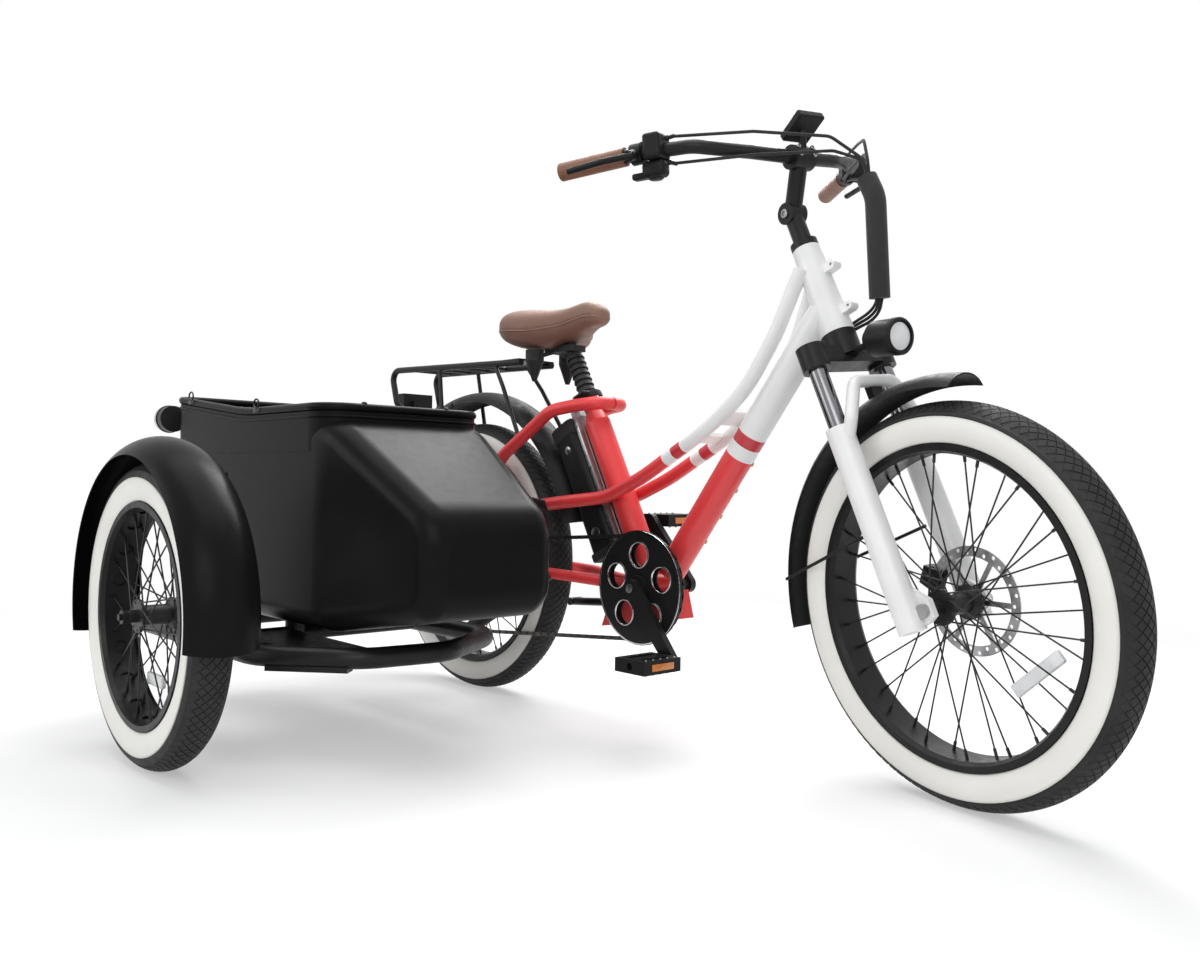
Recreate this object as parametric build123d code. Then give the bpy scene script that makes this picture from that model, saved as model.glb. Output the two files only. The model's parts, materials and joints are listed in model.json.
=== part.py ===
from build123d import *
import math
import os

os.makedirs("parts", exist_ok=True)

# Frame of the drawing: x forward from the rear axle, y to the rider's left, z up from the road.
# Lengths in millimetres, angles in degrees.
FIT = 0.3
SHAFT_FIT = 0.1
WHEELBASE = 1280
HEAD_ANGLE = 66
FORK_OFFSET = 30
PARKED_STEER = -12.65

# The two bicycle wheels and the smaller sidecar wheel, one column each.
COLUMNS = ("tyre_r", "tyre_half", "shoulder_drop", "shoulder_half", "white_out", "rim_r", "rim_half",
           "rim_deep", "flange_r", "flange_half", "barrel_r", "spoke_y", "over_half", "boss_to")
BIG = dict(zip(COLUMNS, (326, 39, 17, 34, 303, 260, 33, 16, 29, 30, 17, 9, 59, 43)))
MOTOR = dict(zip(COLUMNS, (326, 39, 17, 34, 303, 260, 33, 16, 84, 27, 78, 9, 66, 43)))
SMALL = dict(zip(COLUMNS, (268, 38, 16, 33, 240, 198, 33, 14, 29, 26, 18, 9, 48, 36)))
RIM_FLANGE = 3.5
RIM_BED = 9
WHITE_DEEP = 1.5
WHITE_LIFT = 1
SPOKES_PER_SIDE = 18
SPOKE_CROSS = 60
SPOKE_R = 1.4
SPOKE_STAGGER = 2.6
NIPPLE_R = 2.6
NIPPLE_LONG = 17
NIPPLE_SEAT = 3
HUB_FLANGE = 5
HUB_NECK_R = 11
HUB_BOSS_R = 22
AXLE_R = 6
AXLE_REACH = 14
NUT_R = 11
NUT_TALL = 9
RIM_HOLE_R = 13
RIM_HOLES = 18

# Brake discs.
DISC_R = 90
DISC_BAND = 17
DISC_THICK = 2
DISC_ARMS = 6
DISC_ARM = 9
DISC_HUB_R = 24
DISC_Y = 44
DISC_HOLES = 30
DISC_HOLE_R = 3.2

# Steering head and fork, measured along the steering axis from the foot of the fork offset.
HEAD_LOW = 509
HEAD_LONG = 176
HEAD_R_TOP = 25
HEAD_R_LOW = 31
HEAD_BORE = 17
STEERER_R = 14.3
LEG_Y = 78
LEG_R = 23
STANCHION_R = 16
LOWER_TOP = 330
CROWN_LOW = 440
CROWN_THICK = 44
CROWN_R = 25
CROWN_DEEP = 40
CROWN_BEAM = 32
ARCH_F = 32
ARCH_TOP = 398
ARCH_R = 11
FORK_HALF = 60
TAB_THICK = 10
TAB_BACK = 14
TAB_UP = 44
TAB_R = 15
TAB_LOW = 20
FORK_NUT = 8
LEG_LOW = -26
LEG_EYE = 150
STEERER_TOP = 728
FRONT_STAY = 178
LAMP_F = 104
LAMP_S = 445
LAMP_R = 31
SCREEN_AT = (2, 8, 56)
SCREEN_FACE = (-0.55, 0, 0.83)
SCREEN_WIDE = 60
SCREEN_TALL = 62
SCREEN_THICK = 16
FRONT_CALIPER = 160
REAR_CALIPER = 125
CALIPER_IN = 7
CALIPER_OUT = 16
CALIPER_GAP = 2
ADAPTER_IN = 20
ADAPTER_WIDE = 12
SLEEVE_R = 18
SLEEVE_RUN = ((154, 34, 730), (156, 34, 690), (86, 34, 532))
BOSS_R = 8
BOSS_BORE = 2.65
BOSS_WIDE = 22
BOSS_STATIONS = (34, 119)
BOSS_REACH = 14

# Stem, bar and what the hands hold.
KNUCKLE_S = 762
KNUCKLE_R = 17
CLAMP_F = 62
CLAMP_S = 839.4
BAR_R = 12.5
CLAMP_R = 22
CLAMP_WIDE = 46
BAR_BENDS = ((-14, 95, 6), (-62, 195, 20), (-142, 258, 20), (-279, 331, 15))
BAR_FILLET = 62
GRIP_LONG = 132
GRIP_R = 17
GRIP_CAP = 6
LEVER_OUT = 40
LEVER_DROP = 12

# Frame tubes.
CRANK_X = 622
CRANK_Z = 300
SHELL_R = 25
SHELL_HALF = 38
DOWN_R = 29
DOWN_JOIN = 56
DOWN_FOOT = (28, 0, 30)
SEAT_FOOT = (-20, 0, 6)
SEAT_TOP = (389, 0, 706)
SEAT_R = 28
SEAT_NECK_R = 19
SEAT_NECK = 46
TWIN_R = 14
TWIN_HEAD = ((-9, -24, 136.5), (-98, -34, 52.5))
TWIN_RUN = ((872, -40, 688), (775, -43, 614), (606, -42, 523), (500, -41, 480), (402, -72, 468),
            (315, -73, 458), (60, -73, 372))
TWIN_BENDS = (300, 250, 500, 500, 150, 150, 200)
BRIDGE_COLUMNS = ("x", "z", "long", "slope")
BRIDGE_ROWS = ((808, 641, 40, 37), (750, 602, 26, 32))
BRIDGE_THICK = 8
HOOP_R = 14
HOOP_RUN = ((467, 0, 683), (459, -41, 682), (405, -52, 678), (345, -70, 668), (180, -73, 570),
            (54, -73, 408))
HOOP_BENDS = (30, 60, 90, 90)
STAY_R = 12
STAY_RUN = ((612, -24, 296), (505, -27, 299), (352, -66, 309), (52, -73, 320))
STAY_BEND = 90
DROP_IN = 67
DROP_THICK = 7
DROP_R = 28
DROP_RUN = ((-10, -26), (70, -22), (80, 8), (84, 66), (62, 92), (40, 92), (-10, 27))

# Box below the crank shell, and the battery behind the seat tube.
BOX_RUN = ((476, 204), (690, 240), (674, 296), (600, 276), (500, 262))
BOX_HALF = 28
BATTERY_HALF = 38
BATTERY_DEEP = 72
BATTERY_FROM = 95
BATTERY_LONG = 320
BATTERY_EDGE = 16
RAIL_FROM = 60
RAIL_THICK = 12
RAIL_HALF = 16

# Saddle and its post.
SADDLE_COLUMNS = ("x", "half", "low", "high", "edge")
SADDLE_ROWS = ((160, 66, 842, 892, 22), (215, 112, 816, 906, 38), (290, 100, 812, 902, 38),
               (350, 52, 832, 902, 30), (400, 33, 850, 912, 26), (436, 22, 858, 896, 16))
POST_R = 14
POST_IN = 140
BOOT_R = 21
BOOT_RIBS = 7
BOOT_FALL = 4
BOOT_SHARE = 0.8
POST_HEAD = 819
YOKE_LONG = 92
YOKE_WIDE = 44
YOKE_TALL = 14
YOKE_BACK = 20
SPRING_AT = (262, 50)
SPRING_R = 21
SPRING_TIP_R = 5
SPRING_TIP_Z = 739
SPRING_RING_Z = 785
CARRIER_R = 5
CARRIER_DROP = 8

# Rack over the rear wheel.
RACK_Z = 799
RACK_FRONT_Z = 787
RACK_HALF = 68
RACK_REAR = -318
RACK_TUCK = 33
RACK_FRONT = 208
RACK_R = 8
RACK_BEND = 24
RACK_SLATS = (-230, -145, -60, 25)
SLAT_R = 6
RACK_DROP = 103
RACK_NOSE = 46
RACK_PLATE = 140
RACK_PLATE_SPARE = 7
RACK_PLATE_THICK = 5
RACK_LEG = -105
LEG_FOOT_AT = 160
STRUT_FROM = 112
STRUT_RUN = ((157, -59, 732), (237, -73, 612))
STRUT_BEND = 40
LEG_ROD = 5
TAIL_DEEP = 26
TAIL_WIDE = 90
TAIL_TALL = 44

# Mudguards: outer radius, half width, and the arc each one covers from straight ahead.
GUARD_COLUMNS = ("radius", "half", "skirt", "start", "sweep")
REAR_GUARD = dict(zip(GUARD_COLUMNS, (404, 50, 26, 14, 172)))
FRONT_GUARD = dict(zip(GUARD_COLUMNS, (370, 42, 22, 84, 109)))
SIDE_GUARD = dict(zip(GUARD_COLUMNS, (302, 62, 34, -8, 201)))
SIDE_GUARD_AT = (16, 0, 10)
GUARD_THICK = 2.5
GUARD_STAY_R = 3
GUARD_STAY_IN = 4
HANGER_DEEP = 14
HANGER_WIDE = 26

# Drive.
RING_TEETH = 52
COG_TEETH = 18
PITCH = 12.7
CHAIN_Y = -50
CHAIN_HALF = 4
CHAIN_TALL = 9
RING_THICK = 3
GUARD_RING_R = 116
GUARD_RING_Y = -62.5
GUARD_HOLES = 5
GUARD_HOLE_R = 25
GUARD_HOLE_AT = 66
CRANK_LONG = 170
CRANK_DOWN = 50
CRANK_Y = 82
CRANK_THICK = 14
CRANK_BIG_R = 18
CRANK_SMALL_R = 14
SPINDLE_R = 11
PEDAL_IN = 96
PEDAL_WIDE = 98
PEDAL_DEEP = 78
PEDAL_TALL = 26
PEDAL_BAR = 14
PEDAL_PIN_R = 7

FREEWHEEL_IN = -33
FREEWHEEL_OUT = -62
FREEWHEEL_R = 18
FREEWHEEL_COGS = 5
FREEWHEEL_STEP = 2.6
FREEWHEEL_FALL = 3
UPPER_PULLEY = (24, 236)
LOWER_PULLEY = (54, 168)
PULLEY_R = 21
CAGE_R = 13
CAGE_THICK = 3
CAGE_GAP = 2
CAGE_BOSS_R = 12
CAGE_BOSS = 8
CAGE_ARM_R = 7
CAGE_ARM_OUT = 4
HANGER = (4, 300)
RING_BOSS_R = 26
PEDAL_MID = 24
REAR_STAY_ANGLES = (100, 150)

# Kickstand, folded along the left chain stay.
STAND_PIVOT = (512, 58, 250)
STAND_FOOT = (278, 66, 232)
STAND_R = 9
STAND_PIN_R = 5
STAND_BLOCK = 28
STAND_BRACKET = (34, 28, 26)
STAND_TOE_IN = 12
STAND_TOE_OUT = 22

# Sidecar tub.
TUB_REAR = -295
TUB_OUT = -655
TUB_IN = -300
TUB_FLOOR = 232
TUB_FLAT_END = 400
TUB_NOSE = 694
TUB_HOOD = 622
TUB_COAMING = 418
TUB_NOSE_IN = 54
TUB_EASE = 300
TUB_KICK = 46
TUB_CHIN = 60
TUB_BROW_SHARE = 0.5
TUB_BROW_ROUND = 0.52
TUB_HOOD_EASE = 160
TUB_RIM_UP = 19
TUB_REAR_UP = 44
TUB_RISE_FROM = 90
TUB_RISE_BEND = 900
TUB_SPARE = 50
TUB_WALL = 6
TUB_EDGE = 44
TUB_CORNER = 62
RIM_TUBE_R = 8
TUB_BAND_DEEP = 62
TUB_BAND = 1.2
BENCH_GAP = 4
BENCH_LONG = 340
BENCH_WIDE = 320
BENCH_TALL = 110
BENCH_EDGE = 24
BACK_THICK = 80
BACK_TALL = 230
SIDE_LAMP_BACK = 17
SIDE_LAMP_IN = 9
LAMP_ARM = 50
LAMP_ARM_R = 6
LAMP_FOOT_R = 12
LAMP_FOOT = 10
SIDE_LAMP_R = 30
SIDE_LAMP_DEEP = 34

# Sidecar wheel place, chassis and mounts.
SIDE_WHEEL_X = 251
SIDE_WHEEL_Y = -885
CHASSIS_R = 19
CHASSIS_Z = 194
CHASSIS_RUN = ((-210, -742), (340, -742), (486, -610), (508, -450), (398, -268), (-70, -268))
CHASSIS_BENDS = (100, 100, 100, 80)
CROSS_STATIONS = (-150, 130)
CROSS_R = 15
PAD_ROWS = (-560, -395)
PAD_R = 20
UPRIGHT_TOP = 306
UPRIGHT_LONG = 84
UPRIGHT_THICK = 16
STUB_R = 12
STAY_ROD = 6
SIDE_STAY_ANGLES = (62, 118)
STEP_RUN = ((130, -742), (340, -742), (486, -610), (480, -575), (130, -575))
STEP_SLOTS = ((205, -700), (300, -700))
STEP_SLOT_LONG = 54
STEP_SLOT_WIDE = 16
STEP_THICK = 6
STEP_UP = 8
SKID_AT = (413, -676)
SKID_TURN = 42
SKID_LONG = 150
SKID_WIDE = 30
SKID_THICK = 10
STRUT_R = 14
EYE_R = 17
EYE_THICK = 8
REAR_STRUT_X = -30
LOW_STRUT = (345, -70, 306)
HIGH_STRUT = (340, -76, 456)
HIGH_RISE = 36

# Cables.
CABLE_R = 2.8
CABLE_BEND = 30
CABLE_ROWS = (((-96, -212, 44), (17, -120, 32), (104, -24, 10)),
              ((-100, -206, -2), (12, -112, -6), (98, -12, -12)),
              ((-96, 212, 44), (17, 130, 32), (108, 52, 10)),
              ((-100, 206, -2), (12, 122, -6), (98, 62, -12)))
CABLE_GATHER = 12
CABLE_DROP = 30
FRAME_CABLES = ((-7, 0), (0, 6), (7, 12))
CABLE_FALL = (-6, 0, -20)
CABLE_SIDE = (6.6, 42, 22)
CABLE_PORT = 107
CABLE_PORT_Y = 8

rear_axle = Vector(0, 0, MOTOR["tyre_r"])
front_axle = Vector(WHEELBASE, 0, BIG["tyre_r"])
side_axle = Vector(SIDE_WHEEL_X, SIDE_WHEEL_Y, SMALL["tyre_r"])
lean = math.radians(HEAD_ANGLE)
head_forward = Vector(math.sin(lean), 0, math.cos(lean))
head_up = Vector(-math.cos(lean), 0, math.sin(lean))
head_base = front_axle - head_forward * FORK_OFFSET
head_plane = Plane(origin=head_base, x_dir=head_forward, z_dir=head_up)
steer_axis = Axis(head_base, head_up)
side_plane = Plane(origin=(0, 0, 0), x_dir=(1, 0, 0), z_dir=(0, -1, 0))
crank_axle = Vector(CRANK_X, 0, CRANK_Z)
seat_low = crank_axle + Vector(SEAT_FOOT)
seat_top = Vector(SEAT_TOP)
down_low = crank_axle + Vector(DOWN_FOOT)
nodes = {}


def rod(start, end, radius):
    start = Vector(start)
    reach = Vector(end) - start
    return Solid.make_cylinder(radius, reach.length, Plane(origin=start, z_dir=reach))


def taper(start, end, radius, end_radius):
    start = Vector(start)
    reach = Vector(end) - start
    return Solid.make_cone(radius, end_radius, reach.length, Plane(origin=start, z_dir=reach))


def pipe(points, radius, bends):
    path = FilletPolyline(*points, radius=bends)
    return sweep(Plane(origin=path @ 0, z_dir=path % 0) * Circle(radius), path=path)


def ring(points):
    return revolve(make_face(Polyline(*points, close=True)), Axis.Y)


def plate(face, y_left, thick):
    return extrude(side_plane.offset(-y_left) * face, thick)


def flip(shape):
    return mirror(shape, about=Plane.XZ)


def steer(forward, across, up):
    return head_base + head_forward * forward + Vector(0, across, 0) + head_up * up


def parked(point):
    return head_base + (point - head_base).rotate(steer_axis, PARKED_STEER)


def polar(centre, radius, angle, y=0):
    turn = math.radians(angle)
    return Vector(centre.X + radius * math.cos(turn), y, centre.Z + radius * math.sin(turn))


def solids_of(*shapes):
    return [solid for shape in shapes for solid in shape.solids()]


def largest(shape):
    return max(shape.solids(), key=lambda solid: solid.volume)


def bundle(*shapes):
    return Compound(solids_of(*shapes))


def tyre_face(w):
    bead = w["rim_half"] - RIM_FLANGE - FIT
    bed = w["rim_r"] - RIM_BED + FIT
    shoulder_r = w["tyre_r"] - w["shoulder_drop"]
    bulge_r = (w["rim_r"] + shoulder_r) / 2
    half = w["shoulder_half"]
    return make_face([
        Line((bed, bead), (bed, -bead)),
        Line((bed, -bead), (w["rim_r"], -bead)),
        ThreePointArc((w["rim_r"], -bead), (bulge_r, -w["tyre_half"]), (shoulder_r, -half)),
        ThreePointArc((shoulder_r, -half), (w["tyre_r"], 0), (shoulder_r, half)),
        ThreePointArc((shoulder_r, half), (bulge_r, w["tyre_half"]), (w["rim_r"], bead)),
        Line((w["rim_r"], bead), (bed, bead)),
    ])


def white_faces(w):
    whole = tyre_face(w)
    white_in = w["rim_r"] + WHITE_LIFT
    band = w["white_out"] - white_in
    walls = []
    for side in (-1, 1):
        strip = Pos(white_in + band / 2, side * w["tyre_half"] / 2) * Rectangle(band, w["tyre_half"] * 1.2)
        walls.append((whole & strip) - Pos(0, -side * WHITE_DEEP) * whole)
    return walls


def rim_ring(w):
    inner = w["rim_r"] - w["rim_deep"]
    bed = w["rim_r"] - RIM_BED
    half = w["rim_half"]
    lip = half - RIM_FLANGE
    return ring(((inner, half - 8), (bed - 2, half), (w["rim_r"], half), (w["rim_r"], lip), (bed, lip),
                 (bed, -lip), (w["rim_r"], -lip), (w["rim_r"], -half), (bed - 2, -half), (inner, 8 - half)))


def hub_ring(w):
    flange, half, barrel = w["flange_r"], w["flange_half"], w["barrel_r"]
    bore = AXLE_R + SHAFT_FIT
    over = w["over_half"] - FIT
    return ring(((bore, over), (HUB_NECK_R, over), (HUB_NECK_R, w["boss_to"]), (HUB_BOSS_R, w["boss_to"]),
                 (HUB_BOSS_R, half + HUB_FLANGE), (flange, half + HUB_FLANGE), (flange, half),
                 (barrel, half - HUB_FLANGE), (barrel, HUB_FLANGE - half), (flange, -half),
                 (flange, -half - HUB_FLANGE), (HUB_NECK_R, -half - HUB_FLANGE), (HUB_NECK_R, -over),
                 (bore, -over)))


def spokes(w):
    rods = []
    step = 360 / SPOKES_PER_SIDE
    rim_in = w["rim_r"] - w["rim_deep"] + NIPPLE_SEAT
    for side in (-1, 1):
        for k in range(SPOKES_PER_SIDE):
            lead = 1 if k % 2 else -1
            rim_turn = k * step + side * step / 4
            hub_turn = math.radians(rim_turn + lead * SPOKE_CROSS)
            hub_r = w["flange_r"] - HUB_FLANGE
            hub_y = side * (w["flange_half"] + HUB_FLANGE / 2 + lead * SPOKE_STAGGER)
            rim_turn = math.radians(rim_turn)
            start = Vector(hub_r * math.cos(hub_turn), hub_y, hub_r * math.sin(hub_turn))
            end = Vector(rim_in * math.cos(rim_turn), side * w["spoke_y"], rim_in * math.sin(rim_turn))
            toward = (end - start).normalized()
            rods.append(rod(start, end - toward * NIPPLE_LONG, SPOKE_R))
            rods.append(rod(end - toward * (NIPPLE_LONG + 1), end, NIPPLE_R))
    return rods


def brake_disc():
    flat = Circle(DISC_R) - Circle(DISC_R - DISC_BAND)
    for k in range(DISC_HOLES):
        along = DISC_R - DISC_BAND / 2 + (3 if k % 2 else -3)
        flat -= Rot(0, 0, k * 360 / DISC_HOLES) * Pos(along, 0) * Circle(DISC_HOLE_R)
    for k in range(DISC_ARMS):
        reach = DISC_R - DISC_BAND + 2
        flat += Rot(0, 0, k * 360 / DISC_ARMS) * Pos(reach / 2, 0) * Rectangle(reach, DISC_ARM)
    flat += Circle(DISC_HUB_R)
    flat -= Circle(HUB_NECK_R + FIT)
    return plate(flat, DISC_Y + DISC_THICK / 2, DISC_THICK)


def guard_shell(g, thick=GUARD_THICK):
    outer, half, skirt = g["radius"], g["half"], g["skirt"]
    crown = outer - skirt
    face = make_face([
        ThreePointArc((crown, -half), (outer, 0), (crown, half)),
        Line((crown, half), (crown, half - thick)),
        ThreePointArc((crown, half - thick), (outer - thick, 0), (crown, thick - half)),
        Line((crown, thick - half), (crown, -half)),
    ])
    shell = revolve(face, Axis.Y, revolution_arc=g["sweep"])
    return shell.rotate(Axis.Y, -g["start"] - g["sweep"])


def guard_room(g):
    inside = g["radius"] - GUARD_THICK
    return rod((0, -g["half"], 0), (0, g["half"], 0), inside)


def wheel(name, w, place):
    whites = white_faces(w)
    flat = tyre_face(w) - whites[0] - whites[1]
    nodes[name + "_tyre"] = place * revolve(flat, Axis.Y)
    nodes[name + "_whitewalls"] = place * bundle(*(revolve(white, Axis.Y) for white in whites))
    nodes[name + "_rim"] = place * rim_ring(w)
    nodes[name + "_hub"] = place * hub_ring(w).fuse(*spokes(w))


# Wheels.
wheel("front", BIG, Pos(*front_axle))
wheel("rear", MOTOR, Pos(*rear_axle))
wheel("sidecar", SMALL, Pos(*side_axle))
for k in range(RIM_HOLES):
    turn = k * 360 / RIM_HOLES + 90 / RIM_HOLES
    drill = rod((0, 0, SMALL["rim_r"] - 40), (0, 0, SMALL["rim_r"] - RIM_BED - 2), RIM_HOLE_R)
    nodes["sidecar_rim"] -= Pos(*side_axle) * Rot(0, turn, 0) * drill
nodes["front_disc"] = Pos(*front_axle) * brake_disc()
nodes["rear_disc"] = Pos(*rear_axle) * brake_disc()

# Frame: steering head with the two tapped lugs on its front.
head_low = steer(0, 0, HEAD_LOW)
head_top = steer(0, 0, HEAD_LOW + HEAD_LONG)
head_cone = taper(head_low, head_top, HEAD_R_LOW, HEAD_R_TOP)
head_bore = rod(steer(0, 0, HEAD_LOW - 10), steer(0, 0, HEAD_LOW + HEAD_LONG + 10), HEAD_BORE)
head = head_cone
for station in BOSS_STATIONS:
    share = station / HEAD_LONG
    radius = HEAD_R_LOW + (HEAD_R_TOP - HEAD_R_LOW) * share
    tip = steer(radius + BOSS_REACH, 0, HEAD_LOW + station)
    side = Vector(0, BOSS_WIDE / 2, 0)
    head += rod(tip - side, tip + side, BOSS_R)
    web = BOSS_REACH + BOSS_R
    web_at = radius + BOSS_REACH - web / 2
    head += head_plane * Pos(web_at, 0, HEAD_LOW + station) * Box(web, BOSS_WIDE, 2 * BOSS_R)
    head -= rod(tip - side * 2, tip + side * 2, BOSS_BORE)
head -= head_bore
nodes["head_tube"] = head

# Seat tube, necked at the top and bored for the post.
seat_up = (seat_top - seat_low).normalized()
neck_at = seat_top - seat_up * SEAT_NECK
shoulder_at = neck_at - seat_up * SEAT_R
seat = rod(seat_low, shoulder_at, SEAT_R)
seat += taper(shoulder_at, neck_at, SEAT_R, SEAT_NECK_R)
seat += rod(neck_at, seat_top, SEAT_NECK_R)
half_shell = Vector(0, SHELL_HALF, 0)
shell = rod(crank_axle - half_shell, crank_axle + half_shell, SHELL_R)
post_foot = seat_top - seat_up * POST_IN
post_bore = rod(post_foot - seat_up * POST_R, seat_top + seat_up * POST_R, POST_R + SHAFT_FIT)
nodes["seat_tube"] = seat - shell - post_bore
down_top = steer(0, 0, HEAD_LOW + DOWN_JOIN)
down_way = (down_top - down_low).normalized()
down = rod(down_low, down_top, DOWN_R)
nodes["down_tube"] = largest(down - head_cone - shell - seat)

# Twin tubes from the head to the dropouts, the hoop round the seat tube and the chain stays.
twin_run = tuple(steer(f, y, HEAD_LOW + s) for f, y, s in TWIN_HEAD) + TWIN_RUN
twin = pipe(twin_run, TWIN_R, TWIN_BENDS)
twins = [twin, flip(twin)]
hoop_half = pipe(HOOP_RUN, HOOP_R, HOOP_BENDS)
hoop = hoop_half + flip(hoop_half)
stay = pipe(STAY_RUN, STAY_R, STAY_BEND)
drop_face = Circle(DROP_R) + make_face(Polyline(*DROP_RUN, close=True))
drop_face -= Circle(AXLE_R + SHAFT_FIT)
drop = Pos(*rear_axle) * plate(drop_face, -DROP_IN, DROP_THICK)
drops = drop + flip(drop)
braces = []
for row in BRIDGE_ROWS:
    r = dict(zip(BRIDGE_COLUMNS, row))
    sheet = Box(r["long"], 2 * abs(TWIN_RUN[0][1]), BRIDGE_THICK)
    brace = Pos(r["x"], 0, r["z"]) * Rot(0, -r["slope"], 0) * sheet
    braces.append(largest(brace - twins[0] - twins[1]))
trimmed = [largest(tube - head_cone - down - seat - drops) for tube in twins]
nodes["twin_tubes"] = bundle(*trimmed, *braces)
nodes["seat_hoop"] = hoop - seat - drops - twins[0] - twins[1]
right_stay = stay - shell - seat + drop
nodes["chain_stays"] = bundle(right_stay, flip(right_stay))

box_face = make_face(Polyline(*BOX_RUN, close=True))
box = plate(box_face, BOX_HALF, 2 * BOX_HALF)
housing = box - seat - down - stay - flip(stay)
stand_pivot = Vector(STAND_PIVOT)
stand_reach = Vector(0, STAND_BLOCK, 0)
bracket = Pos(*(stand_pivot - stand_reach)) * Box(*STAND_BRACKET)
stand_pin = rod(stand_pivot - stand_reach, stand_pivot + Vector(0, STAND_R, 0), STAND_PIN_R)
housing += (bracket - flip(stay)) + stand_pin
shell_bore = rod(crank_axle - half_shell * 2, crank_axle + half_shell * 2, SPINDLE_R + FIT)
nodes["crank_housing"] = housing + shell - shell_bore

# Battery on its rail behind the seat tube.
seat_back = Plane(origin=seat_low, x_dir=(-seat_up.Z, 0, seat_up.X), z_dir=seat_up)
rail_mid = SEAT_R + RAIL_THICK / 2 + FIT
rail_long = BATTERY_FROM + BATTERY_LONG - RAIL_FROM
rail = Box(RAIL_THICK, 2 * RAIL_HALF, rail_long)
nodes["battery_rail"] = seat_back * Pos(rail_mid, 0, RAIL_FROM + rail_long / 2) * rail
pack_mid = SEAT_R + RAIL_THICK + 2 * FIT + BATTERY_DEEP / 2
pack = Box(BATTERY_DEEP, 2 * BATTERY_HALF, BATTERY_LONG)
pack = fillet(pack.edges().filter_by(Axis.Z), BATTERY_EDGE)
nodes["battery"] = seat_back * Pos(pack_mid, 0, BATTERY_FROM + BATTERY_LONG / 2) * pack

# Saddle on a sprung post.
post_top = seat_top + seat_up * ((POST_HEAD - seat_top.Z) / seat_up.Z)
boot_from = seat_top + seat_up * BOOT_FALL
post = rod(post_foot, post_top, POST_R)
boot_step = (post_top - boot_from).length * BOOT_SHARE / BOOT_RIBS
for k in range(BOOT_RIBS):
    low = boot_from + seat_up * (k * boot_step)
    post += taper(low, low + seat_up * boot_step, BOOT_R, BOOT_R - BOOT_FALL)
yoke_z = POST_HEAD - YOKE_TALL / 2
post += Pos(post_top.X - YOKE_BACK, 0, yoke_z) * Box(YOKE_LONG, YOKE_WIDE, YOKE_TALL)
saddle_faces = []
for row in SADDLE_ROWS:
    r = dict(zip(SADDLE_COLUMNS, row))
    face = RectangleRounded(2 * r["half"], r["high"] - r["low"], r["edge"])
    cut = Plane(origin=(r["x"], 0, (r["low"] + r["high"]) / 2), x_dir=(0, 1, 0), z_dir=(1, 0, 0))
    saddle_faces.append(cut * face)
saddle = loft(saddle_faces)
nodes["saddle"] = saddle - post
spring_ring = Vector(*SPRING_AT, SPRING_RING_Z)
spring = taper(Vector(*SPRING_AT, SPRING_TIP_Z), spring_ring, SPRING_TIP_R, SPRING_R)
spring += rod(spring_ring, Vector(*SPRING_AT, POST_HEAD), SPRING_R)
carrier = rod((post_top.X - 2 * YOKE_BACK, 0, yoke_z), spring_ring + Vector(0, 0, CARRIER_DROP), CARRIER_R)
springs = spring + carrier
nodes["seat_post"] = post + (springs + flip(springs) - post - saddle)

# Axles that carry the wheels.
axle_half = Vector(0, DROP_IN + DROP_THICK + AXLE_REACH, 0)
axle_rear = rod(rear_axle - axle_half, rear_axle + axle_half, AXLE_R)
nut_at = rear_axle + Vector(0, DROP_IN + DROP_THICK, 0)
nut = rod(nut_at, nut_at + Vector(0, NUT_TALL, 0), NUT_R)
nodes["rear_axle"] = axle_rear + nut + flip(nut)

# Freewheel, chain and derailleur on the right.
ring_pitch = PITCH / 2 / math.sin(math.pi / RING_TEETH)
cog_pitch = PITCH / 2 / math.sin(math.pi / COG_TEETH)
freewheel = rod((0, FREEWHEEL_IN, 0), (0, FREEWHEEL_OUT, 0), FREEWHEEL_R)
for k in range(FREEWHEEL_COGS):
    y = CHAIN_Y - k * FREEWHEEL_STEP
    radius = cog_pitch - CHAIN_TALL / 2 - FIT * 2 - k * FREEWHEEL_FALL
    freewheel += rod((0, y + 1, 0), (0, y - 1, 0), radius)
freewheel -= rod((0, FREEWHEEL_IN + 1, 0), (0, FREEWHEEL_OUT - 1, 0), HUB_NECK_R + FIT)
nodes["freewheel"] = Pos(*rear_axle) * freewheel

CIRCLES = ((CRANK_X, CRANK_Z, ring_pitch, 1), (0, rear_axle.Z, cog_pitch, 1),
           (UPPER_PULLEY[0], UPPER_PULLEY[1], PULLEY_R, -1), (LOWER_PULLEY[0], LOWER_PULLEY[1], PULLEY_R, 1))


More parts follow.
